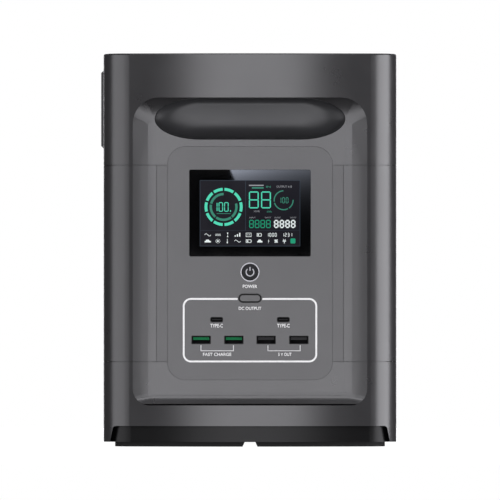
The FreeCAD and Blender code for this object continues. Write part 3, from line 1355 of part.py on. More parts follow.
def make_battery():
    """Cells lying across the case in two rows, held by a plate at each end and joined by busbars."""
    places = cell_places()
    cells = []
    for column, row, y, z in places:
        name = f"cell_{row}_{column}"
        can = rod(name + "_can", "cell_radius", "cell_length", ALONG_X, ("-cell_length / 2", y, z))
        poles = rod(name + "_poles", "terminal_radius", "cell_length + 2 * terminal_length", ALONG_X,
                    ("-cell_length / 2 - terminal_length", y, z))
        cells.append(fuse(name, can, poles))
    node(group("battery_cells", cells), "battery_cells")

    half_length = "(cell_columns * cell_pitch) / 2 + 2"
    top = "pack_foot + cell_rows * cell_pitch + 1.6"
    lip = "cell_length / 2"
    holders = []
    for side, name in ((1, "right"), (-1, "left")):
        start, end = f"{lip} - holder_thickness + terminal_length - 0.5", f"{lip} + terminal_length - 0.5"
        span = (start, end) if side > 0 else (f"-({end})", f"-({start})")
        plate = block(name + "_holder_plate", span, (f"-({half_length})", half_length),
                      ("shell_foot + tray_floor", top))
        wells = [rod(f"{name}_well_{row}_{column}", "cell_radius + 0.05", "cell_length", ALONG_X,
                     ("-cell_length / 2", y, z)) for column, row, y, z in places]
        eyes = [rod(f"{name}_eye_{row}_{column}", "terminal_radius + 0.5",
                    "cell_length + 8 * terminal_length", ALONG_X,
                    ("-cell_length / 2 - 4 * terminal_length", y, z)) for column, row, y, z in places]
        holders.append(cut(name + "_cell_holder", plate, *wells, *eyes))
    node(group("cell_holders", holders), "cell_holders")

    straps = []
    for side in (1, -1):
        near = "cell_length / 2 + terminal_length"
        far = f"{near} + busbar_thickness"
        span = (near, far) if side > 0 else (f"-({far})", f"-({near})")
        shift = 0 if side > 0 else 1
        for pair in range(int(sheet.cell_columns) // 2 + shift):
            first = max(0, 2 * pair - shift)
            last = min(int(sheet.cell_columns) - 1, 2 * pair + 1 - shift)
            y_low = places[first][2] - sheet.terminal_radius
            y_high = places[last][2] + sheet.terminal_radius
            straps.append(block(f"strap_{side + 1}_{pair}", span, (y_low, y_high),
                                (places[0][3] - sheet.terminal_radius,
                                 places[-1][3] + sheet.terminal_radius)))
    node(group("busbars", straps), "busbars")
    board = block("bms_plate", ("-cell_length / 2", "cell_length / 2"), (-110, 110),
                  (top, f"{top} + board_thickness"))
    shunts = [block(f"bms_shunt_{n}", across(x, 6), across(80, 12),
                    (f"{top} + board_thickness", f"{top} + 4"))
              for n, x in enumerate((-30, 0, 30))]
    node(fuse("bms_board", board, *shunts), "bms_board")


def make_chassis():
    """A plate over the battery on eight posts, which the base screws bite into."""
    plate = block("chassis_plate", (-95, 95), (-140, 140),
                  ("chassis_level", "chassis_level + chassis_thickness"))
    posts, bores = [], []
    for number, (x, y) in enumerate(SCREW_PLACES):
        posts.append(block(f"post_{number}", across(x, 5), across(y, 5),
                           ("shell_foot + tray_floor", "chassis_level")))
        bores.append(rod(f"post_bore_{number}", 2, 12, ALONG_Z, (x, y, "shell_foot")))
    lead_holes = [rod(f"lead_hole_{n}", 4, 10, ALONG_Z, (x, LEAD_ALONG, "chassis_level - 4")) for n,
                  x in enumerate(LEAD_COLUMNS)]
    node(cut("chassis_plate_posts", fuse("chassis_whole", plate, *posts), *bores, *lead_holes), "chassis")
    deck = "chassis_level + chassis_thickness"
    places = [(x, y) for x in (-74, 74) for y in (-118, 0, 118)]
    short = [rod(f"spacer_{n}", "spacer_radius", "spacer_height", ALONG_Z, (x, y, deck))
             for n, (x, y) in enumerate(places)]
    tall = [rod(f"tall_spacer_{n}", "spacer_radius",
                "upper_deck - chassis_level - chassis_thickness - spacer_height"
                " - board_thickness", ALONG_Z, (x, y, f"{deck} + spacer_height + board_thickness"))
            for n, (x, y) in enumerate(places)]
    node(group("board_spacers", short + tall), "board_spacers")
    leads = [rod(f"lead_{n}", 2.6,
                 "chassis_level + chassis_thickness + spacer_height - (pack_foot + cell_rows"
                 " * cell_pitch + 1.6 + board_thickness)", ALONG_Z,
                 (x, LEAD_ALONG, "pack_foot + cell_rows * cell_pitch + 1.6 + board_thickness"))
             for n, x in enumerate(LEAD_COLUMNS)]
    node(group("battery_leads", leads), "battery_leads")


def finned_sink(name, x, along, foot, tall):
    """An extruded heat sink: a base plate and a row of upright fins."""
    base = block(name + "_base", across(x, 15), along, (foot, f"{foot} + 5"))
    fins = [block(f"{name}_fin_{n}", across(f"{x} + {-13.5 + 4.5 * n}", 0.9), along,
                  (f"{foot} + 5", f"{foot} + {tall}"))
            for n in range(7)]
    return fuse(name, base, *fins)


def make_power_boards():
    """The inverter board on the chassis, and the charger board above it, with their large components."""
    low = "chassis_level + chassis_thickness + spacer_height"
    deck = f"{low} + board_thickness"
    node(block("inverter_board", BOARD_ACROSS, BOARD_ALONG, (low, deck)), "inverter_board")
    node(block("charger_board", BOARD_ACROSS, BOARD_ALONG, ("upper_deck", "upper_deck + board_thickness")),
         "charger_board")
    upper = "upper_deck + board_thickness"
    sinks = [finned_sink("inverter_sink_left", -48, (-112, 40), deck, 48),
             finned_sink("inverter_sink_right", 48, (-112, 40), deck, 48),
             finned_sink("charger_sink", 0, (-60, 60), upper, 30)]
    node(group("heat_sinks", sinks), "heat_sinks")

    iron = block("core_block", (-24, 24), (-100, -52), (deck, f"{deck} + 42"))
    throats = [block(f"core_throat_{n}", across(x, 5.5), (-104, -48), (f"{deck} + 8", f"{deck} + 34"))
               for n, x in enumerate((-12, 12))]
    node(cut("transformer_core", iron, *throats), "transformer_core")
    coil = block("coil_block", (-17, 17), (-111, -41), (f"{deck} + 8.3", f"{deck} + 33.7"))
    heart = block("coil_heart", (-6.8, 6.8), (-100.3, -51.7), (f"{deck} + 7", f"{deck} + 35"))
    rings = []
    for number, (x, y) in enumerate(((0, -10), (0, 26))):
        ring = doc.addObject("Part::Torus", f"inductor_{number}")
        bind(ring, "Radius1", 13)
        bind(ring, "Radius2", 5.5)
        bind(ring, "Placement.Base.x", x)
        bind(ring, "Placement.Base.y", y)
        bind(ring, "Placement.Base.z", f"{deck} + 5.5")
        rings.append(ring)
    node(group("windings", [cut("transformer_coil", coil, heart)] + rings), "windings")

    cans = [rod(f"capacitor_{n}", 11, 45, ALONG_Z, (x, y, deck))
            for n, (x, y) in enumerate([(x, y) for x in (-50, -25, 0, 25, 50) for y in (64, 90)])]
    node(group("capacitors", cans), "capacitors")


# ---- the assembly -------------------------------------------------------------------------------------

def write_parts():
    """Check every object and write one file for each sub-part."""
    doc.recompute()
    for thing in doc.Objects:
        if "Invalid" in thing.State or "Error" in thing.State:
            raise RuntimeError(f"{thing.Label} failed: {thing.State}")
    labels = [thing.Label for thing in nodes]
    if len(set(labels)) != len(labels):
        raise RuntimeError("two sub-parts share a name")
    for thing in nodes:
        if thing.Shape.isNull() or not thing.Shape.isValid():
            raise RuntimeError(f"{thing.Label} has no valid shape")
    os.makedirs("parts", exist_ok=True)
    for thing in nodes:
        thing.Shape.exportStep(f"parts/{thing.Label}.step")
    print(f"{len(nodes)} sub-parts written")


make_shells()
make_grille("right_grille")
turn_to_rear(make_grille("left_grille"))
make_fan("front_fan", -sheet.fan_spacing / 2)
make_fan("rear_fan", sheet.fan_spacing / 2)
make_base()
make_front_end()
switches = make_display()
make_front_buttons()
make_front_ports()
switches += make_rear_end()
node(group("button_switches", switches), "button_switches")
make_battery()
make_chassis()
make_power_boards()
write_parts()
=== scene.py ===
import json
import math

import bmesh
import bpy
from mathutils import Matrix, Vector

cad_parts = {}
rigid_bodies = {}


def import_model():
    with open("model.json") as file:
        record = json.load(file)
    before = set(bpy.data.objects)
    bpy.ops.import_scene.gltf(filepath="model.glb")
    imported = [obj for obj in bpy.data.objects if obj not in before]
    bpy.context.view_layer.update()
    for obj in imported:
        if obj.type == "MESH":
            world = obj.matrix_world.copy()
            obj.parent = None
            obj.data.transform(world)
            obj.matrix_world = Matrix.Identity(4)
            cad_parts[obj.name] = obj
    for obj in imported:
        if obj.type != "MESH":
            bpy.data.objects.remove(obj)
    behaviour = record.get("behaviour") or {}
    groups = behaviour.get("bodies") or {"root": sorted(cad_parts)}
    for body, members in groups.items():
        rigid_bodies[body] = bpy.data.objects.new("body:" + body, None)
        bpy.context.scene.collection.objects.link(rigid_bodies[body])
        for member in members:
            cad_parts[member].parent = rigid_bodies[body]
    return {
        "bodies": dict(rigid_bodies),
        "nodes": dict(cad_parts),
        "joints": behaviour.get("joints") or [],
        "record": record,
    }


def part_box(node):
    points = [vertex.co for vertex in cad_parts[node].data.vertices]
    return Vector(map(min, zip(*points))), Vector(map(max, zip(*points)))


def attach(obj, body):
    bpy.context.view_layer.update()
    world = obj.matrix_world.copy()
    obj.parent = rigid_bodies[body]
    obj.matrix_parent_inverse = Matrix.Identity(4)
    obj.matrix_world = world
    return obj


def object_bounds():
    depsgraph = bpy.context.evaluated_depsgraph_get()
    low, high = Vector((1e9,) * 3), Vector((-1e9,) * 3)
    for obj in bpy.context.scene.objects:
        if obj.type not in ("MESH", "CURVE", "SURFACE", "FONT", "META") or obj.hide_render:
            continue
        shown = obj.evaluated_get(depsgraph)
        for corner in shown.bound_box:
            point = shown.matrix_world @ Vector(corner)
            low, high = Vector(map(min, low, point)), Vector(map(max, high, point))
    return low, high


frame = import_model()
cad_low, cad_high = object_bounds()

MM = 0.001
NODES = frame["nodes"]
SCENE = bpy.context.scene
CASE = "case"

# ---------------------------------------------------------------- materials


def linear(red, green, blue):
    """Screen values from 0 to 255 as the linear colour that a shader takes."""
    shares = [value / 255 for value in (red, green, blue)]
    return tuple(v / 12.92 if v <= 0.0393 else ((v + 0.055) / 1.055) ** 2.4 for v in shares)


def tinted(colour, factor):
    """A colour made lighter or darker, with the opacity that a socket wants."""
    return (*(min(1.0, c * factor) for c in colour), 1.0)


class Finish:
    """A material under construction: its shader, and the nodes that feed it."""

    def __init__(self, name, colour, roughness, metallic=0.0, specular=0.5):
        self.material = bpy.data.materials.new(name)
        self.material.use_nodes = True
        self.tree = self.material.node_tree
        self.tree.nodes.clear()
        self.colour = colour
        self.roughness = roughness
        output = self.node("ShaderNodeOutputMaterial")
        self.shader = self.node("ShaderNodeBsdfPrincipled")
        self.link(self.shader.outputs["BSDF"], output.inputs["Surface"])
        self.shader.inputs["Base Color"].default_value = (*colour, 1.0)
        self.shader.inputs["Roughness"].default_value = roughness
        self.shader.inputs["Metallic"].default_value = metallic
        self.shader.inputs["Specular IOR Level"].default_value = specular
        self.place = self.node("ShaderNodeTexCoord").outputs["Object"]
        self.colour_source = None
        self.normal_source = None

    def node(self, kind, **settings):
        made = self.tree.nodes.new(kind)
        for key, value in settings.items():
            setattr(made, key, value)
        return made

    def link(self, source, target):
        self.tree.links.new(source, target)

    def noise(self, size, detail=2.0, stretch=None, roughness=0.5):
        """Noise whose features are about size across, in metres, drawn out along stretch."""
        made = self.node("ShaderNodeTexNoise")
        made.inputs["Scale"].default_value = 1 / size
        made.inputs["Detail"].default_value = detail
        made.inputs["Roughness"].default_value = roughness
        place = self.place
        if stretch:
            mapping = self.node("ShaderNodeMapping")
            mapping.inputs["Scale"].default_value = stretch
            self.link(place, mapping.inputs["Vector"])
            place = mapping.outputs["Vector"]
        self.link(place, made.inputs["Vector"])
        return made.outputs["Fac"]

    def cells(self, size, feature="F1", randomness=1.0):
        """Distances in a pattern of cells about size across."""
        made = self.node("ShaderNodeTexVoronoi", feature=feature)
        made.inputs["Scale"].default_value = 1 / size
        made.inputs["Randomness"].default_value = randomness
        self.link(self.place, made.inputs["Vector"])
        return made.outputs["Distance"]

    def spread(self, source, low, high, to_low, to_high):
        """What lies from low to high, drawn out from to_low to to_high and held there beyond."""
        made = self.node("ShaderNodeMapRange", clamp=True)
        for key, value in zip(("From Min", "From Max", "To Min", "To Max"), (low, high, to_low, to_high)):
            made.inputs[key].default_value = value
        self.link(source, made.inputs["Value"])
        return made.outputs["Result"]

    def product(self, one, other):
        made = self.node("ShaderNodeMath", operation="MULTIPLY")
        self.link(one, made.inputs[0])
        self.link(other, made.inputs[1])
        return made.outputs["Value"]

    def blend(self, factor, colour):
        """Lays a colour over what is there, by factor."""
        made = self.node("ShaderNodeMix", data_type="RGBA")
        if self.colour_source is None:
            made.inputs["A"].default_value = (*self.colour, 1.0)
        else:
            self.link(self.colour_source, made.inputs["A"])
        made.inputs["B"].default_value = colour
        self.link(factor, made.inputs["Factor"])
        self.colour_source = made.outputs["Result"]
        self.link(self.colour_source, self.shader.inputs["Base Color"])

    def mottle(self, size, amount):
        """Slow variation in colour."""
        cloud = self.noise(size, 3.0)
        self.blend(self.spread(cloud, 0.35, 0.65, 0.0, 1.0), tinted(self.colour, 1 - amount))

    def smudges(self, size, amount):
        """Patches that are smoother or rougher than the rest."""
        cloud = self.noise(size, 4.0, roughness=0.6)
        low, high = max(0.02, self.roughness - amount), min(1.0, self.roughness + amount)
        self.link(self.spread(cloud, 0.3, 0.7, low, high), self.shader.inputs["Roughness"])

    def relief(self, source, depth):
        """Fine bumps of the given depth in metres."""
        made = self.node("ShaderNodeBump")
        made.inputs["Distance"].default_value = depth
        made.inputs["Strength"].default_value = 1.0
        self.link(source, made.inputs["Height"])
        if self.normal_source is not None:
            self.link(self.normal_source, made.inputs["Normal"])
        self.normal_source = made.outputs["Normal"]
        self.link(self.normal_source, self.shader.inputs["Normal"])

    def rubbed_and_highlit_edges(self, radius, colour, amount=1.0):
        """Edges painted lighter, unevenly, where a bevelled normal leaves the face's own: partly rubbed
        wear, partly a painted edge highlight.
        """
        bevel = self.node("ShaderNodeBevel", samples=4)
        bevel.inputs["Radius"].default_value = radius
        geometry = self.node("ShaderNodeNewGeometry")
        dot = self.node("ShaderNodeVectorMath", operation="DOT_PRODUCT")
        self.link(bevel.outputs["Normal"], dot.inputs[0])
        self.link(geometry.outputs["Normal"], dot.inputs[1])
        edge = self.spread(dot.outputs["Value"], 0.94, 0.80, 0.0, amount)
        patches = self.spread(self.noise(0.006, 3.0), 0.42, 0.62, 0.0, 1.0)
        self.blend(self.product(edge, patches), (*colour, 1.0))

    def dust(self, colour, amount):
        """A thin, patchy layer on what faces up."""
        geometry = self.node("ShaderNodeNewGeometry")
        split = self.node("ShaderNodeSeparateXYZ")
        self.link(geometry.outputs["Normal"], split.inputs[0])
        upward = self.spread(split.outputs["Z"], 0.6, 1.0, 0.0, amount)
        specks = self.spread(self.noise(0.0035, 5.0, roughness=0.7), 0.45, 0.7, 0.15, 1.0)
        self.blend(self.product(upward, specks), (*colour, 1.0))

    def glow(self, colour, strength=1.0):
        """Light of its own."""
        self.shader.inputs["Emission Color"].default_value = (*colour, 1.0)
        self.shader.inputs["Emission Strength"].default_value = strength


def moulded(name, colour, roughness, specular=0.5, grain=0.0004, depth=0.000006, dusty=0.0, edge_rub_and_highlight=0.0):
    """Moulded plastic: spark-eroded grain, faint flow marks, smudges, edges painted lighter (rubbed wear
    plus a painted edge highlight) and dust.
    """
    f = Finish(name, colour, roughness, specular=specular)
    f.mottle(0.05, 0.08)
    # Edges painted lighter than the face: partly rubbed wear, partly a painted edge highlight.
    if edge_rub_and_highlight:
        f.rubbed_and_highlit_edges(0.0006, tuple(c * 2.6 for c in colour), edge_rub_and_highlight)
    if dusty:
        f.dust((0.16, 0.15, 0.14), dusty)
    f.smudges(0.022, 0.018)
    f.relief(f.noise(grain, 2.0), depth)
    return f.material


def metal(name, colour, roughness, stretch=(1.0, 1.0, 1.0), line=0.0002, depth=0.000002, specks=0.1):
    """Bare or plated metal with drawn lines along one axis."""
    f = Finish(name, colour, roughness, metallic=1.0)
    f.mottle(0.004, specks)
    f.smudges(0.006, 0.06)
    f.relief(f.noise(line, 3.0, stretch=stretch), depth)
    return f.material


def printed(name, colour, roughness=0.45):
    """Screen-printed ink: slightly uneven cover."""
    f = Finish(name, colour, roughness)
    f.mottle(0.0012, 0.10)
    f.relief(f.noise(0.0003, 2.0), 0.000002)
    return f.material


def lit(name, colour, strength=1.0, roughness=0.12, specular=0.1):
    """A lit part of the display, seen through its cover."""
    f = Finish(name, (0.004, 0.004, 0.005), roughness, specular=specular)
    f.glow(colour, strength)
    f.smudges(0.012, 0.03)
    return f.material


def circuit_board(name):
    """Green solder mask over copper tracks, with pale legend specks."""
    f = Finish(name, (0.012, 0.075, 0.030), 0.35)
    tracks = f.spread(f.cells(0.006, "DISTANCE_TO_EDGE", 0.35), 0.03, 0.06, 1.0, 0.0)
    f.blend(tracks, (0.03, 0.16, 0.06, 1.0))
    pads = f.spread(f.cells(0.0045), 0.16, 0.12, 0.0, 1.0)
    f.blend(pads, (0.45, 0.44, 0.38, 1.0))
    f.relief(tracks, 0.00003)
    f.smudges(0.01, 0.06)
    return f.material


def make_materials():
    dark = (0.0190, 0.0185, 0.0196)
    made = {
        "shell_plastic": moulded("shell_plastic", dark, 0.29, 0.78, dusty=0.03, edge_rub_and_highlight=0.2),
        "panel_plastic": moulded("panel_plastic", dark, 0.33, 0.74, grain=0.0003, depth=0.000005),
        "cup_plastic": moulded("cup_plastic", (0.044, 0.0445, 0.047), 0.42, 0.56, dusty=0.05),
        "tray_plastic": moulded("tray_plastic", (0.0020, 0.0020, 0.0022), 0.34, 0.22, edge_rub_and_highlight=0.3),
        "grille_plastic": moulded("grille_plastic", (0.012, 0.012, 0.013), 0.45, 0.5, dusty=0.25, edge_rub_and_highlight=0.3),
        "fan_plastic": moulded("fan_plastic", (0.010, 0.010, 0.010), 0.4, dusty=0.3),
        "button_dark": moulded("button_dark", (0.018, 0.018, 0.020), 0.3),
        "tongue_black": moulded("tongue_black", (0.010, 0.010, 0.011), 0.45, 0.16),
        "fast_green": moulded("fast_green", (0.0085, 0.150, 0.052), 0.5, 0.06),
        "socket_black": moulded("socket_black", (0.013, 0.013, 0.014), 0.32, edge_rub_and_highlight=0.3),
        "breaker_red": moulded("breaker_red", (0.42, 0.012, 0.010), 0.45, 0.18, edge_rub_and_highlight=0.3),
        "display_body": moulded("display_body", (0.45, 0.45, 0.43), 0.5),
        "cell_wrap": moulded("cell_wrap", (0.02, 0.10, 0.30), 0.3),
        "holder_plastic": moulded("holder_plastic", (0.02, 0.02, 0.02), 0.5),
        "chassis_plastic": moulded("chassis_plastic", (0.05, 0.05, 0.052), 0.5),
        "can_plastic": moulded("can_plastic", (0.015, 0.015, 0.03), 0.3),
        "lead_red": moulded("lead_red", (0.45, 0.015, 0.010), 0.45),
        "core_ferrite": moulded("core_ferrite", (0.03, 0.03, 0.03), 0.6, depth=0.00003),
        "foot_rubber": moulded("foot_rubber", (0.011, 0.011, 0.011), 0.75, 0.3, grain=0.0006, depth=0.00002,
                               dusty=0.1),
        "board_green": circuit_board("board_green"),
        "chrome_trim": metal("chrome_trim", (0.23, 0.23, 0.24), 0.24, depth=0.000001),
        "port_steel": metal("port_steel", (0.0050, 0.0050, 0.0052), 0.36, stretch=(1.0, 0.08, 1.0)),
        "screw_steel": metal("screw_steel", (0.42, 0.42, 0.43), 0.3),
        "contact_brass": metal("contact_brass", (0.17, 0.105, 0.040), 0.42, stretch=(1.0, 0.1, 1.0)),
        "nickel_strip": metal("nickel_strip", (0.55, 0.54, 0.50), 0.32, stretch=(0.1, 1.0, 1.0)),
        "sink_aluminium": metal("sink_aluminium", (0.62, 0.63, 0.64), 0.38, stretch=(1.0, 0.05, 1.0)),
        "winding_copper": metal("winding_copper", (0.62, 0.25, 0.10), 0.3, line=0.0006, depth=0.00003),
    }
    glass = Finish("screen_glass", (0.0012, 0.0012, 0.0014), 0.02, specular=0.5)
    glass.smudges(0.03, 0.012)
    glass.mottle(0.02, 0.3)
    made["screen_glass"] = glass.material

    made["ink_white"] = printed("ink_white", (0.78, 0.78, 0.77))
    made["ink_pale"] = printed("ink_pale", (0.50, 0.50, 0.50))
    made["button_silver"] = metal("button_silver", (0.22, 0.22, 0.232), 0.30, depth=0.000002)
    made["button_inlay"] = moulded("button_inlay", (0.006, 0.006, 0.008), 0.30, 0.12)
    made["button_rim"] = moulded("button_rim", (0.0040, 0.0040, 0.0042), 0.5, 0.15)
    made["lit_field"] = lit("lit_field", (0.0070, 0.0065, 0.0100), specular=0.05)
    made["lit_field_low"] = lit("lit_field_low", (0.0060, 0.0058, 0.0090), specular=0.05)
    made["lit_rule"] = lit("lit_rule", linear(46, 57, 68))
    made["lit_teal"] = lit("lit_teal", linear(79, 216, 180))
    made["lit_teal_dim"] = lit("lit_teal_dim", linear(52, 130, 108))
    made["lit_green"] = lit("lit_green", linear(20, 150, 112))
    made["lit_white"] = lit("lit_white", linear(228, 236, 236))
    made["lit_grey"] = lit("lit_grey", linear(150, 152, 158))
    return made


MATERIALS = make_materials()
for node in NODES.values():
    for place in node.material_slots:
        place.material = MATERIALS[place.material.name.split(".")[0]]

# ---------------------------------------------------------------- raised shapes on upright faces


def seven_segment(character):
    """Which bars of a figure are lit: clockwise from the top one, and the middle one last."""
    table = {"0": "1111110", "1": "0110000", "2": "1101101", "3": "1111001", "8": "1111111"}
    return [flag == "1" for flag in table[character]]


class Relief:
    """Closed shapes that stand a little proud of an upright face. Places are in mm on that face,
    x to the right and z up as seen from outside, measured from the middle that is given."""

    def __init__(self, name, face, rise, middle=(0.0, 0.0), rear=False, sink=0.02):
        self.name = name
        self.mesh = bmesh.new()
        self.front, self.back = face + rise, face - sink
        self.middle = middle
        self.side = -1.0 if rear else 1.0

    def vertex(self, x, z, level):
        x, z = x + self.middle[0], z + self.middle[1]
        return self.mesh.verts.new(Vector((self.side * x, -self.side * level, z)) * MM)

    def patch(self, outline):
        """A filled outline."""
        front = [self.vertex(x, z, self.front) for x, z in outline]
        back = [self.vertex(x, z, self.back) for x, z in outline]
        self.mesh.faces.new(front)
        self.mesh.faces.new(back[::-1])
        for here in range(len(outline)):
            after = (here + 1) % len(outline)
            self.mesh.faces.new((front[here], back[here], back[after], front[after]))

    def strip(self, one, other, closed=False):
        """The band between two lines of equally many points."""
        rings = [
            [
                self.vertex(*a, self.front),
                self.vertex(*b, self.front),
                self.vertex(*b, self.back),
                self.vertex(*a, self.back),
            ]
            for a, b in zip(one, other)
        ]
        pairs = list(zip(rings, rings[1:]))
        if closed:
            pairs.append((rings[-1], rings[0]))
        else:
            self.mesh.faces.new(rings[0])
            self.mesh.faces.new(rings[-1][::-1])
        for here, after in pairs:
            for corner in range(4):
                beside = (corner + 1) % 4
                self.mesh.faces.new((here[corner], here[beside], after[beside], after[corner]))

    def line(self, path, width, closed=False):
        """A line of the given width along a path, mitred at its corners."""
        points = [Vector(p) for p in path]
        count = len(points)
        one, other = [], []
        for index, point in enumerate(points):
            before = points[(index - 1) % count] if closed or index else None
            after = points[(index + 1) % count] if closed or index < count - 1 else None
            ways = [(b - a).normalized() for a, b in ((before, point), (point, after)) if a and b]
            along = sum(ways, Vector((0.0, 0.0))).normalized()
            across = Vector((-along.y, along.x))
            reach = width / 2 / max(0.4, abs(along.dot(ways[0])))
            one.append(tuple(point + across * reach))
            other.append(tuple(point - across * reach))
        self.strip(one, other, closed)

    def arc(self, centre, inner, outer, start, end, step=4.0):
        """Part of a ring. Angles are in degrees, clockwise from twelve o'clock."""
        count = max(2, int(abs(end - start) / step) + 1)
        closed = abs(abs(end - start) - 360) < 0.01
        steps = count if closed else count - 1
        turns = [math.radians(start + (end - start) * i / steps) for i in range(count)]
        edges = [
            [(centre[0] + radius * math.sin(t), centre[1] + radius * math.cos(t)) for t in turns]
            for radius in (inner, outer)
        ]
        self.strip(*edges, closed)

    def rectangle(self, x0, x1, z0, z1):
        self.patch([(x0, z0), (x1, z0), (x1, z1), (x0, z1)])

    def rounded(self, x0, x1, z0, z1, radius):
        self.patch(rounded_outline(x0, x1, z0, z1, radius))

    def figure(self, character, x, z, width, height, stroke):
        """A seven-bar figure whose lower left corner is at x, z."""
        half, gap = stroke / 2, stroke * 0.10
        left, right = x + half, x + width - half
        foot, top, waist = z + half, z + height - half, z + height / 2
        ends = [
            ((left, top), (right, top)),
            ((right, top), (right, waist)),
            ((right, waist), (right, foot)),
            ((left, foot), (right, foot)),
            ((left, waist), (left, foot)),
            ((left, top), (left, waist)),
            ((left, waist), (right, waist)),
        ]
        for flag, (start, end) in zip(seven_segment(character), ends):
            if flag:
                self.bar(start, end, half, gap)

    def bar(self, start, end, half, gap):
        """One bar of a figure, pointed at both ends."""
        start, end = Vector(start), Vector(end)
        along = (end - start).normalized()
        across = Vector((-along.y, along.x)) * half
        tip_a, tip_b = start + along * gap, end - along * gap
        neck_a, neck_b = tip_a + along * half, tip_b - along * half
        shape = [tip_a, neck_a - across, neck_b - across, tip_b, neck_b + across, neck_a + across]
        self.patch([tuple(p) for p in shape])

    def figures(self, text, x, z, width, height, stroke, pitch):
        """A row of seven-bar figures."""
        for index, character in enumerate(text):
            self.figure(character, x + index * pitch, z, width, height, stroke)

    def words(self, text, centre, width, height, weight=0.012):
        """Plain capitals that fill a box."""
        curve = bpy.data.curves.new("capitals", "FONT")
        curve.body = text
        curve.resolution_u = 3
        curve.offset = weight
        curve.extrude = 0.1
        holder = bpy.data.objects.new("capitals", curve)
        SCENE.collection.objects.link(holder)
        graph = bpy.context.evaluated_depsgraph_get()
        made = holder.evaluated_get(graph).to_mesh()
        places = [v.co for v in made.vertices]
        low_x, high_x = min(p.x for p in places), max(p.x for p in places)
        low_y, high_y = min(p.y for p in places), max(p.y for p in places)
        verts = []
        for p in places:
            x = centre[0] + ((p.x - low_x) / (high_x - low_x) - 0.5) * width
            z = centre[1] + ((p.y - low_y) / (high_y - low_y) - 0.5) * height
            verts.append(self.vertex(x, z, self.front if p.z > 0 else self.back))
        for polygon in made.polygons:
            self.mesh.faces.new([verts[i] for i in polygon.vertices])
        bmesh.ops.remove_doubles(self.mesh, verts=verts, dist=1e-7)
        holder.evaluated_get(graph).to_mesh_clear()
        bpy.data.objects.remove(holder)
        bpy.data.curves.remove(curve)

    def finish(self, material, body=CASE, slot=None):
        bmesh.ops.recalc_face_normals(self.mesh, faces=self.mesh.faces)
        return finished(self.name, self.mesh, material, body)


def rounded_outline(x0, x1, z0, z1, radius, steps=8):
    """A rectangle with round corners, as a list of places."""
    corners = [(x1 - radius, z0 + radius, -90), (x1 - radius, z1 - radius, 0)]
    corners += [(x0 + radius, z1 - radius, 90), (x0 + radius, z0 + radius, 180)]
    outline = []
    for x, z, start in corners:
        for i in range(steps + 1):
            turn = math.radians(start + 90 * i / steps)
            outline.append((x + radius * math.cos(turn), z + radius * math.sin(turn)))
    return outline


def finished(name, working, material, body):
    """The bmesh as an object that rides a body."""
    mesh = bpy.data.meshes.new(name)
    working.to_mesh(mesh)
    working.free()
    mesh.materials.append(material)
    made = bpy.data.objects.new(name, mesh)
    SCENE.collection.objects.link(made)
    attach(made, body)
    return made


# ---------------------------------------------------------------- printing on the control panel


def in_mm(node):
    """A node's lowest and highest corners, in mm."""
    return tuple(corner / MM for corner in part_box(node))


def middle_of(node):
    """The middle of a node's front view, x and z in mm."""
    low, high = in_mm(node)
    return (low.x + high.x) / 2, (low.z + high.z) / 2


PANEL_FACE = -in_mm("front_panel")[0].y
PRINT_RISE = 0.05


def rounded_line(points, radius, steps=10):
    """A path through the points that turns each right angle in a small arc."""
    points = [Vector(point) for point in points]
    path = [tuple(points[0])]
    for before, corner, after in zip(points, points[1:], points[2:]):
        come, leave = (corner - before).normalized(), (after - corner).normalized()
        centre = corner + (leave - come) * radius
        for i in range(steps + 1):
            turn = math.pi / 2 * i / steps
            path.append(tuple(centre + (come * math.sin(turn) - leave * math.cos(turn)) * radius))
    return path + [tuple(points[-1])]


def print_front():
    """The frame round the low-voltage outputs, a word by each part, and brackets under the USB-A pairs."""
    pill_z = middle_of("output_button")[1]
    usb_c_low, usb_c_high = in_mm("usb_c_shells")
    usb_a_low = in_mm("usb_a_shells")[0]
    button_x, button_z = middle_of("power_button")

    white = Relief("front_print", PANEL_FACE, PRINT_RISE)
    half, foot, top, gap = 47.7, usb_a_low.z - 12.6, pill_z - 0.5, 8.9
    frame = [(gap, top), (half, top), (half, foot), (-half, foot), (-half, top), (-gap, top)]
    white.line(rounded_line(frame, 5.2), 1.3)
    white.words("POWER", (button_x, button_z - 10.3), 10.4, 2.4)
    white.words("DC OUTPUT", (0.0, pill_z - 7.3), 16.2, 2.3)
    port_x = usb_c_high.x - 4.4
    for x in (-port_x, port_x):
        white.words("TYPE-C", (x, usb_c_low.z - 2.6), 9.0, 2.6)
    white.words("FAST CHARGE", (-23.6, usb_a_low.z - 7.5), 20.4, 2.3)
    white.words("5 V OUT", (25.1, usb_a_low.z - 7.5), 9.6, 2.3)
    white.finish(MATERIALS["ink_white"])

    pale = Relief("front_print_brackets", PANEL_FACE, PRINT_RISE)
    foot, tip = usb_a_low.z - 4.9, usb_a_low.z - 0.9
    for x0, x1 in ((-35.3, -11.9), (12.9, 36.1)):
        pale.line([(x0, tip), (x0, foot), (x1, foot), (x1, tip)], 0.62)
    pale.finish(MATERIALS["ink_pale"])


def from_behind(node):
    """A rear node's left, right, foot and top in mm, as seen from behind."""
    low, high = in_mm(node)
    return -high.x, -low.x, low.z, high.z


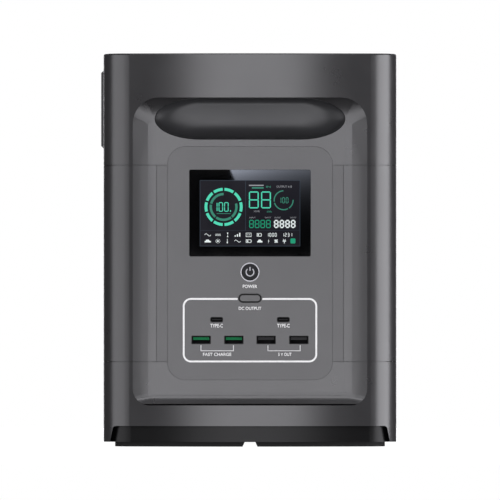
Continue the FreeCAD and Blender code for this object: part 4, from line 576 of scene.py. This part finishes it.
def print_rear():
    """A frame round the mains outlets that starts and ends at their button, and a word by each part."""
    white = Relief("rear_print", PANEL_FACE, PRINT_RISE, rear=True)
    left, right, foot, top = from_behind("ac_button")
    side = (left + right) / 2
    crown = from_behind("upper_ac_outlets")[3] + 3.0
    low = from_behind("lower_ac_outlets")[2] + 5.0
    white.line(rounded_line([(-side, low), (-side, crown), (-11.0, crown)], 5.2), 1.1)
    white.line(rounded_line([(11.0, crown), (side, crown), (side, top + 3.0)], 5.2), 1.1)
    white.line([(side, foot - 6.5), (side, low)], 1.1)
    white.words("AC OUTPUT", (0.0, crown), 17.0, 2.4)
    labels = (("AC", "ac_button", -3.2, 4.4), ("DC", "dc_button", -3.2, 4.4),
              ("AC INPUT", "ac_inlet", 3.0, 14.6),
              ("SOLAR", "solar_input", 3.0, 9.8), ("RESET", "breaker", 3.0, 9.6))
    for text, node, shift, width in labels:
        left, right, foot, top = from_behind(node)
        height = (top if shift > 0 else foot) + shift
        white.words(text, ((left + right) / 2, height), width, 2.3)
    left, right, foot, top = from_behind("expansion_port")
    white.words("EXT", (right + 6.2, (foot + top) / 2), 6.0, 2.3)
    socket, jacks = from_behind("car_socket"), from_behind("dc_jacks")
    from_x, to_x = (socket[0] + socket[1]) / 2, (jacks[0] + jacks[1]) / 2
    tip, bracket = socket[2] - 2.0, socket[2] - 4.6
    white.words("12 V OUT", ((from_x + to_x) / 2, bracket - 2.6), 13.5, 2.3)
    white.finish(MATERIALS["ink_white"])
    pale = Relief("rear_print_bracket", PANEL_FACE, PRINT_RISE, rear=True)
    pale.line([(from_x, tip), (from_x, bracket), (to_x, bracket), (to_x, tip)], 0.62)
    pale.finish(MATERIALS["ink_pale"])


def make_port_rims():
    """A thin black edging round the mouth of each port, over the gap between shell and panel."""
    rims = Relief("port_rims", PANEL_FACE, 0.04, sink=0.45)
    inner_port = 0.3305  # how far out the inner ports of a row of four sit, as a share of the outer ones
    for node, count, width, radius in (("usb_a_shells", 4, 13.6, 0.5), ("usb_c_shells", 2, 8.9, 1.3)):
        low, high = in_mm(node)
        half = (high.z - low.z) / 2
        outer = high.x - width / 2
        places = [-outer, outer]
        if count == 4:
            places += [-outer * inner_port, outer * inner_port]
        for x in places:
            sizes = ((width / 2 + 0.16, half + 0.16, radius), (width / 2 - 0.42, half - 0.42, radius - 0.3))
            rings = [
                rounded_outline(x - wide, x + wide, low.z + half - tall, low.z + half + tall, turn)
                for wide, tall, turn in sizes
            ]
            rims.strip(*rings, True)
    rims.finish(MATERIALS["button_rim"])


# ---------------------------------------------------------------- the power button


def make_power_button():
    """A plain crowned face on the power key, with the usual standby sign."""
    middle = middle_of("power_button")
    level = -in_mm("power_button")[0].y
    reach, lift, crown, skirt = 5.98, 0.02, 0.13, 0.3
    rings, spokes = 14, 96
    turns = [2 * math.pi * spoke / spokes for spoke in range(spokes)]
    face = bmesh.new()

    def vertex(radius, turn, depth):
        across, up = radius * math.sin(turn), radius * math.cos(turn)
        return face.verts.new(Vector((middle[0] + across, -depth, middle[1] + up)) * MM)

    hub = vertex(0.0, 0.0, level + lift + crown)
    rows = []
    for ring in range(1, rings + 1):
        share = ring / rings
        depth = level + lift + crown * (1 - share ** 2)
        rows.append([vertex(reach * share, turn, depth) for turn in turns])
    rows.append([vertex(reach, turn, level - skirt) for turn in turns])
    for spoke in range(spokes):
        after = (spoke + 1) % spokes
        face.faces.new((hub, rows[0][spoke], rows[0][after]))
        for one, other in zip(rows, rows[1:]):
            face.faces.new((one[spoke], other[spoke], other[after], one[after]))
    face.faces.new(rows[-1][::-1])
    bmesh.ops.recalc_face_normals(face, faces=face.faces)
    for polygon in face.faces:
        polygon.smooth = True
    finished("power_button_face", face, MATERIALS["button_inlay"], "power_key")

    sign = Relief("power_button_sign", level + 0.1, 0.1, middle, sink=0.1)
    radius, opening, stroke, steps = 2.8, math.radians(38), 0.8, 40
    sweep = 2 * (math.pi - opening)
    arc = [opening + sweep * step / steps for step in range(steps + 1)]
    sign.line([(radius * math.sin(turn), radius * math.cos(turn)) for turn in arc], stroke)
    sign.line([(0.0, 0.9), (0.0, 3.7)], stroke)
    sign.finish(MATERIALS["button_silver"], "power_key", "chrome_trim")


def make_output_rim():
    """The dark soft rim round the face of the output button."""
    pill_z = middle_of("output_button")[1]
    rim = Relief("output_button_rim", -in_mm("output_button")[0].y, 0.08, (0.0, pill_z), sink=0.35)
    rim.line(rounded_outline(-7.75, 7.75, -2.65, 2.65, 2.6), 1.05, True)
    rim.finish(MATERIALS["button_rim"], "output_key", "button_dark")


# ---------------------------------------------------------------- the display


def icon_paths(kind):
    """A small sign in a unit square: filled outlines, and lines."""
    box = [(-0.5, -0.32), (0.38, -0.32), (0.38, 0.32), (-0.5, 0.32)]
    signs = {
        "cell": ([[(0.40, -0.14), (0.5, -0.14), (0.5, 0.14), (0.40, 0.14)],
                  [(-0.38, -0.18), (-0.1, -0.18), (-0.1, 0.18), (-0.38, 0.18)]], [(box, True)]),
        "wave": ([], [([(-0.5, 0.0), (-0.36, 0.24), (-0.2, 0.24), (0.0, 0.0), (0.2, -0.24), (0.36, -0.24),
                        (0.5, 0.0)], False)]),
        "direct": ([], [([(-0.5, 0.14), (0.5, 0.14)], False), ([(-0.5, -0.14), (-0.24, -0.14)], False),
                        ([(-0.13, -0.14), (0.13, -0.14)], False), ([(0.24, -0.14), (0.5, -0.14)], False)]),
        "glass": ([[(-0.3, 0.5), (0.0, 0.03), (0.3, 0.5)], [(-0.3, -0.5), (0.3, -0.5), (0.0, -0.03)]], []),
        "bars": ([[(-0.5, -0.4), (-0.3, -0.4), (-0.3, -0.1), (-0.5, -0.1)],
                  [(-0.12, -0.4), (0.1, -0.4), (0.1, 0.15), (-0.12, 0.15)],
                  [(0.28, -0.4), (0.5, -0.4), (0.5, 0.45), (0.28, 0.45)]], []),
        "outlet": ([[(-0.2, -0.12), (-0.1, -0.12), (-0.1, 0.16), (-0.2, 0.16)],
                    [(0.1, -0.12), (0.2, -0.12), (0.2, 0.16), (0.1, 0.16)]],
                   [([(-0.5, -0.4), (0.5, -0.4), (0.5, 0.4), (-0.5, 0.4)], True)]),
        "bolt": ([[(0.1, 0.5), (-0.3, -0.06), (-0.04, -0.06), (-0.12, -0.5), (0.3, 0.08),
                   (0.04, 0.08)]], []),
        "sun": ([[(0.2, 0.0), (0.14, 0.14), (0.0, 0.2), (-0.14, 0.14), (-0.2, 0.0), (-0.14, -0.14),
                  (0.0, -0.2), (0.14, -0.14)]],
                [([(0.3 * math.sin(a), 0.3 * math.cos(a)), (0.5 * math.sin(a), 0.5 * math.cos(a))], False)
                 for a in (i * math.pi / 4 for i in range(8))]),
        "vehicle": ([[(-0.5, -0.3), (0.5, -0.3), (0.5, 0.02), (0.3, 0.06), (0.16, 0.34), (-0.22, 0.34),
                      (-0.36, 0.06), (-0.5, 0.0)]], []),
        "rotor": ([[(0.0, 0.0), (0.34, 0.14), (0.3, 0.42), (0.02, 0.3)],
                   [(0.0, 0.0), (-0.04, 0.36), (-0.4, 0.3), (-0.3, 0.02)],
                   [(0.0, 0.0), (-0.34, -0.14), (-0.3, -0.42), (-0.02, -0.3)],
                   [(0.0, 0.0), (0.04, -0.36), (0.4, -0.3), (0.3, -0.02)]], []),
        "warmth": ([[(-0.2, -0.5), (0.2, -0.5), (0.26, -0.22), (0.1, -0.1), (0.1, 0.5), (-0.1, 0.5),
                     (-0.1, -0.1), (-0.26, -0.22)]], []),
        "plug": ([[(-0.34, -0.1), (0.34, -0.1), (0.34, 0.14), (-0.34, 0.14)],
                  [(-0.24, 0.18), (-0.12, 0.18), (-0.12, 0.45), (-0.24, 0.45)],
                  [(0.12, 0.18), (0.24, 0.18), (0.24, 0.45), (0.12, 0.45)],
                  [(-0.08, -0.5), (0.08, -0.5), (0.08, -0.14), (-0.08, -0.14)]], []),
    }
    return signs[kind]


def draw_icon(relief, kind, x, z, width, height, stroke=0.35):
    patches, lines = icon_paths(kind)
    for outline in patches:
        relief.patch([(x + a * width, z + b * height) for a, b in outline])
    for path, closed in lines:
        relief.line([(x + a * width, z + b * height) for a, b in path], stroke, closed)


def make_display():
    middle = middle_of("display_glass")
    face = -in_mm("display_glass")[0].y

    def layer(name, rise):
        return Relief(name, face, rise, middle, sink=0.01)

    field = layer("display_field", 0.015)
    field.rounded(-36.1, 36.1, -23.9, 23.6, 0.4)
    field.finish(MATERIALS["lit_field"])

    dark = layer("display_shade", 0.02)
    dark.rectangle(-35.9, 35.9, -23.7, -12.9)
    dark.finish(MATERIALS["lit_field_low"])

    edge = layer("display_rules", 0.03)
    edge.line([(-35.95, -23.75), (35.95, -23.75), (35.95, 23.45), (-35.95, 23.45)], 0.32, True)
    edge.rectangle(-3.35, -3.05, -12.6, 23.2)
    edge.rectangle(-35.6, 35.6, -12.7, -12.55)
    edge.finish(MATERIALS["lit_rule"])

    teal = layer("display_teal", 0.03)
    gauge = (-19.0, 4.4)
    for i in range(10):
        teal.arc(gauge, 11.7, 13.7, 36 * i + 2.9, 36 * i + 33.1)
    teal.figures("100", gauge[0] - 7.6, gauge[1] - 3.4, 3.2, 6.8, 0.6, 4.0)
    teal.rectangle(gauge[0] + 4.6, gauge[0] + 5.3, gauge[1] - 3.4, gauge[1] - 2.4)
    teal.figures("88", -0.8, 3.35, 7.1, 12.2, 0.84, 8.75)
    teal.finish(MATERIALS["lit_teal"])

    small = (24.2, 9.2)
    faint = layer("display_teal_dim", 0.03)
    for start, end in ((0, -75), (-80, -140), (-145, -215), (-220, -285)):
        faint.arc(gauge, 8.4, 10.1, start, end)
    faint.rectangle(1.4, 9.8, 17.6, 18.6)
    faint.rectangle(gauge[0] - 5.0, gauge[0] + 5.0, gauge[1] - 5.0, gauge[1] - 4.6)
    for start, end in ((88, 146), (153, 254), (262, 358)):
        faint.arc(small, 6.4, 7.2, start, end)
    faint.figures("100", small[0] - 3.7, small[1] - 2.2, 2.0, 4.4, 0.5, 2.6)
    faint.words("IN", (13.2, 18.9), 3.2, 1.3)
    faint.words("kWh", (13.9, 1.0), 3.4, 1.3)
    faint.finish(MATERIALS["lit_teal_dim"])

    green = layer("display_green", 0.03)
    green.figures("8888", -0.6, -10.8, 3.3, 5.9, 0.62, 4.05)
    green.rounded(29.1, 32.7, -21.9, -18.3, 0.8)
    green.finish(MATERIALS["lit_green"])

    white = layer("display_white", 0.03)
    grey = layer("display_grey", 0.03)
    grey.rectangle(-0.8, 9.8, 19.5, 20.3)
    grey.words("OUTPUT A B", (24.6, 19.0), 11.0, 1.5, weight=0.0)
    grey.words("HOURS", (4.9, 1.3), 4.2, 1.2, weight=0.0)
    for x, text in ((1.8, "INPUT"), (12.9, "WATT"), (19.8, "OUTPUT"), (31.0, "WATT")):
        grey.words(text, (x, -3.3), 4.4, 1.0, weight=0.0)
    grey.finish(MATERIALS["lit_grey"])
    white.figures("8888", 17.2, -10.8, 3.4, 5.9, 0.95, 4.05)
    upper = [(-30.4, 4.5, "wave"), (-23.0, 3.8, "direct"), (-16.1, 1.9, "glass"), (-9.0, 4.1, "bars"),
             (-1.0, 3.6, "outlet"), (6.8, 3.4, "cell")]
    lower = [(-30.4, 4.5, "vehicle"), (-23.1, 3.6, "sun"), (-16.3, 1.7, "warmth"), (-9.0, 4.5, "wave"),
             (-0.8, 4.0, "cell"), (7.1, 3.7, "vehicle"), (13.4, 1.5, "bolt"), (18.8, 3.3, "rotor"),
             (24.7, 3.3, "plug")]
    for z, row in ((-15.7, upper), (-20.2, lower)):
        for x, width, kind in row:
            draw_icon(white, kind, x, z, width, 3.2)
    white.figures("1000", 11.9, -17.1, 1.5, 2.8, 0.42, 1.95)
    white.figures("1231", 23.0, -17.1, 1.5, 2.8, 0.42, 1.95)
    white.finish(MATERIALS["lit_white"])


# ---------------------------------------------------------------- studio


def stage_mesh(name, corners, faces, material):
    mesh = bpy.data.meshes.new(name)
    mesh.from_pydata([Vector(c) for c in corners], [], faces)
    mesh.materials.append(material)
    made = bpy.data.objects.new(name, mesh)
    SCENE.collection.objects.link(made)
    return made


def softbox(name, centre, facing, size, radiance, tint=(1.0, 0.993, 1.035)):
    """A rectangular light at centre that faces a point, sized so that it looks radiance bright."""
    light = bpy.data.lights.new(name, "AREA")
    light.shape = "RECTANGLE"
    light.size, light.size_y = size
    light.energy = radiance * size[0] * size[1] * math.pi
    light.color = tint
    made = bpy.data.objects.new(name, light)
    made.location = centre
    away = Vector(centre) - Vector(facing)
    made.rotation_euler = away.to_track_quat("Z", "Y").to_euler()
    made.visible_camera = False
    SCENE.collection.objects.link(made)
    return made


def make_studio():
    SCENE.view_settings.view_transform = "Standard"
    world = bpy.data.worlds.new("Studio")
    world.use_nodes = True
    SCENE.world = world
    tree = world.node_tree
    tree.nodes.clear()
    output = tree.nodes.new("ShaderNodeOutputWorld")
    mix = tree.nodes.new("ShaderNodeMixShader")
    path = tree.nodes.new("ShaderNodeLightPath")
    ambient = tree.nodes.new("ShaderNodeBackground")
    ambient.inputs["Color"].default_value = (1.0, 1.0, 1.0, 1.0)
    ambient.inputs["Strength"].default_value = 0.06
    paper = tree.nodes.new("ShaderNodeBackground")
    paper.inputs["Color"].default_value = (1.0, 1.0, 1.0, 1.0)
    paper.inputs["Strength"].default_value = 1.0
    tree.links.new(path.outputs["Is Camera Ray"], mix.inputs["Fac"])
    tree.links.new(ambient.outputs[0], mix.inputs[1])
    tree.links.new(paper.outputs[0], mix.inputs[2])
    tree.links.new(mix.outputs[0], output.inputs["Surface"])

    floor_look = Finish("floor_paper", (0.30, 0.30, 0.30), 0.9, specular=0.0)
    floor_look.glow((1.0, 1.0, 1.0), 1.0)
    floor_look.mottle(0.5, 0.03)
    reach = 1.5
    floor = stage_mesh(
        "floor",
        [(-reach, -reach, 0), (reach, -reach, 0), (reach, reach, 0), (-reach, reach, 0)],
        [(0, 1, 2, 3)],
        floor_look.material,
    )
    floor.visible_glossy = False
    floor.visible_diffuse = False
    floor.visible_shadow = False

    front = cad_low.y
    glass_low, glass_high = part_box("display_glass")
    far = front - 1.5
    half_width, low, high = 0.585, -0.55, 1.2
    gap = 0.012
    hole_low_x, hole_high_x = glass_low.x - gap, glass_high.x + gap
    hole_low_z, hole_high_z = glass_low.z - gap / 3, glass_high.z + gap
    front_radiance = 3.06
    spans = [
        ("left", -half_width, hole_low_x, low, high),
        ("right", hole_high_x, half_width, low, high),
        ("upper", hole_low_x, hole_high_x, hole_high_z, high),
        ("lower", hole_low_x, hole_high_x, low, hole_low_z),
    ]
    for name, x0, x1, z0, z1 in spans:
        middle = ((x0 + x1) / 2, far, (z0 + z1) / 2)
        ahead = (middle[0], 0, middle[2])
        softbox("front_" + name, middle, ahead, (x1 - x0, z1 - z0), front_radiance)
    softbox("right_side", (1.45, -0.35, 0.2), (0.1, -0.35, 0.2), (1.3, 1.6), 4.1)
    softbox("left_side", (-1.45, -0.66, 0.2), (-0.1, -0.66, 0.2), (1.5, 1.6), 1.8)
    softbox("rear", (0.0, 1.9, 0.5), (0.0, 0.2, 0.14), (1.2, 1.2), 3.0)
    softbox("top", (0.0, 0.2, 1.7), (0.0, 0.0, 0.28), (1.2, 1.2), 1.5)
    softbox("top_front", (0.0, -1.1, 1.5), (0.0, -0.19, 0.14), (1.1, 0.9), 3.0)

    black = Finish("flag_black", (0.0, 0.0, 0.0), 1.0, specular=0.0)
    back, half, top = far - 0.02, 0.2, 0.36
    corners = [(-half, back, 0.0), (half, back, 0.0), (half, back, top), (-half, back, top)]
    flag = stage_mesh("flag", corners, [(0, 1, 2, 3)], black.material)
    flag.visible_camera = False
    flag.visible_diffuse = False
    flag.visible_shadow = False
    make_window()


def make_window():
    """A slanting bright patch for the display's cover to mirror. It fades downwards and to the right."""
    look = bpy.data.materials.new("window_light")
    look.use_nodes = True
    tree = look.node_tree
    tree.nodes.clear()
    output = tree.nodes.new("ShaderNodeOutputMaterial")
    light = tree.nodes.new("ShaderNodeEmission")
    light.inputs["Color"].default_value = (0.185, 0.200, 0.240, 1.0)
    place = tree.nodes.new("ShaderNodeTexCoord")
    split = tree.nodes.new("ShaderNodeSeparateXYZ")
    tree.links.new(place.outputs["Object"], split.inputs[0])
    last = None
    for axis, fall in (("X", -1 / 0.044), ("Z", 1 / 0.0096)):
        step = tree.nodes.new("ShaderNodeMath")
        step.operation = "MULTIPLY_ADD"
        step.inputs[1].default_value = fall
        step.inputs[2].default_value = 0.0
        tree.links.new(split.outputs[axis], step.inputs[0])
        if last is not None:
            tree.links.new(last, step.inputs[2])
        last = step.outputs[0]
    power = tree.nodes.new("ShaderNodeMath")
    power.operation = "EXPONENT"
    tree.links.new(last, power.inputs[0])
    tree.links.new(power.outputs[0], light.inputs["Strength"])
    tree.links.new(light.outputs[0], output.inputs["Surface"])

    glass_low, glass_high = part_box("display_glass")
    middle = (glass_low + glass_high) / 2
    outline = [(-14.6, 33.0), (-10.8, 24.0), (-3.0, 8.0), (9.0, -20.0), (60.0, -20.0), (60.0, 33.0)]
    window = stage_mesh("window", [(x * MM, 0.0, z * MM) for x, z in outline], [tuple(range(6))], look)
    window.location = (middle.x, glass_low.y - 0.42, middle.z)
    window.visible_camera = False
    window.visible_diffuse = False
    window.visible_shadow = False


def make_camera():
    data = bpy.data.cameras.new("Camera")
    data.sensor_width = 36.0
    data.lens = 1600.0
    camera = bpy.data.objects.new("Camera", data)
    across = 0.3594
    distance = across * data.lens / data.sensor_width
    middle = (cad_low.z + cad_high.z) / 2
    camera.location = (0.0, cad_low.y - distance, middle)
    camera.rotation_euler = (math.pi / 2, 0.0, 0.0)
    data.clip_start, data.clip_end = 1.0, 40.0
    SCENE.collection.objects.link(camera)
    SCENE.camera = camera


make_studio()
make_camera()
print_front()
print_rear()
make_port_rims()
make_power_button()
make_output_rim()
make_display()
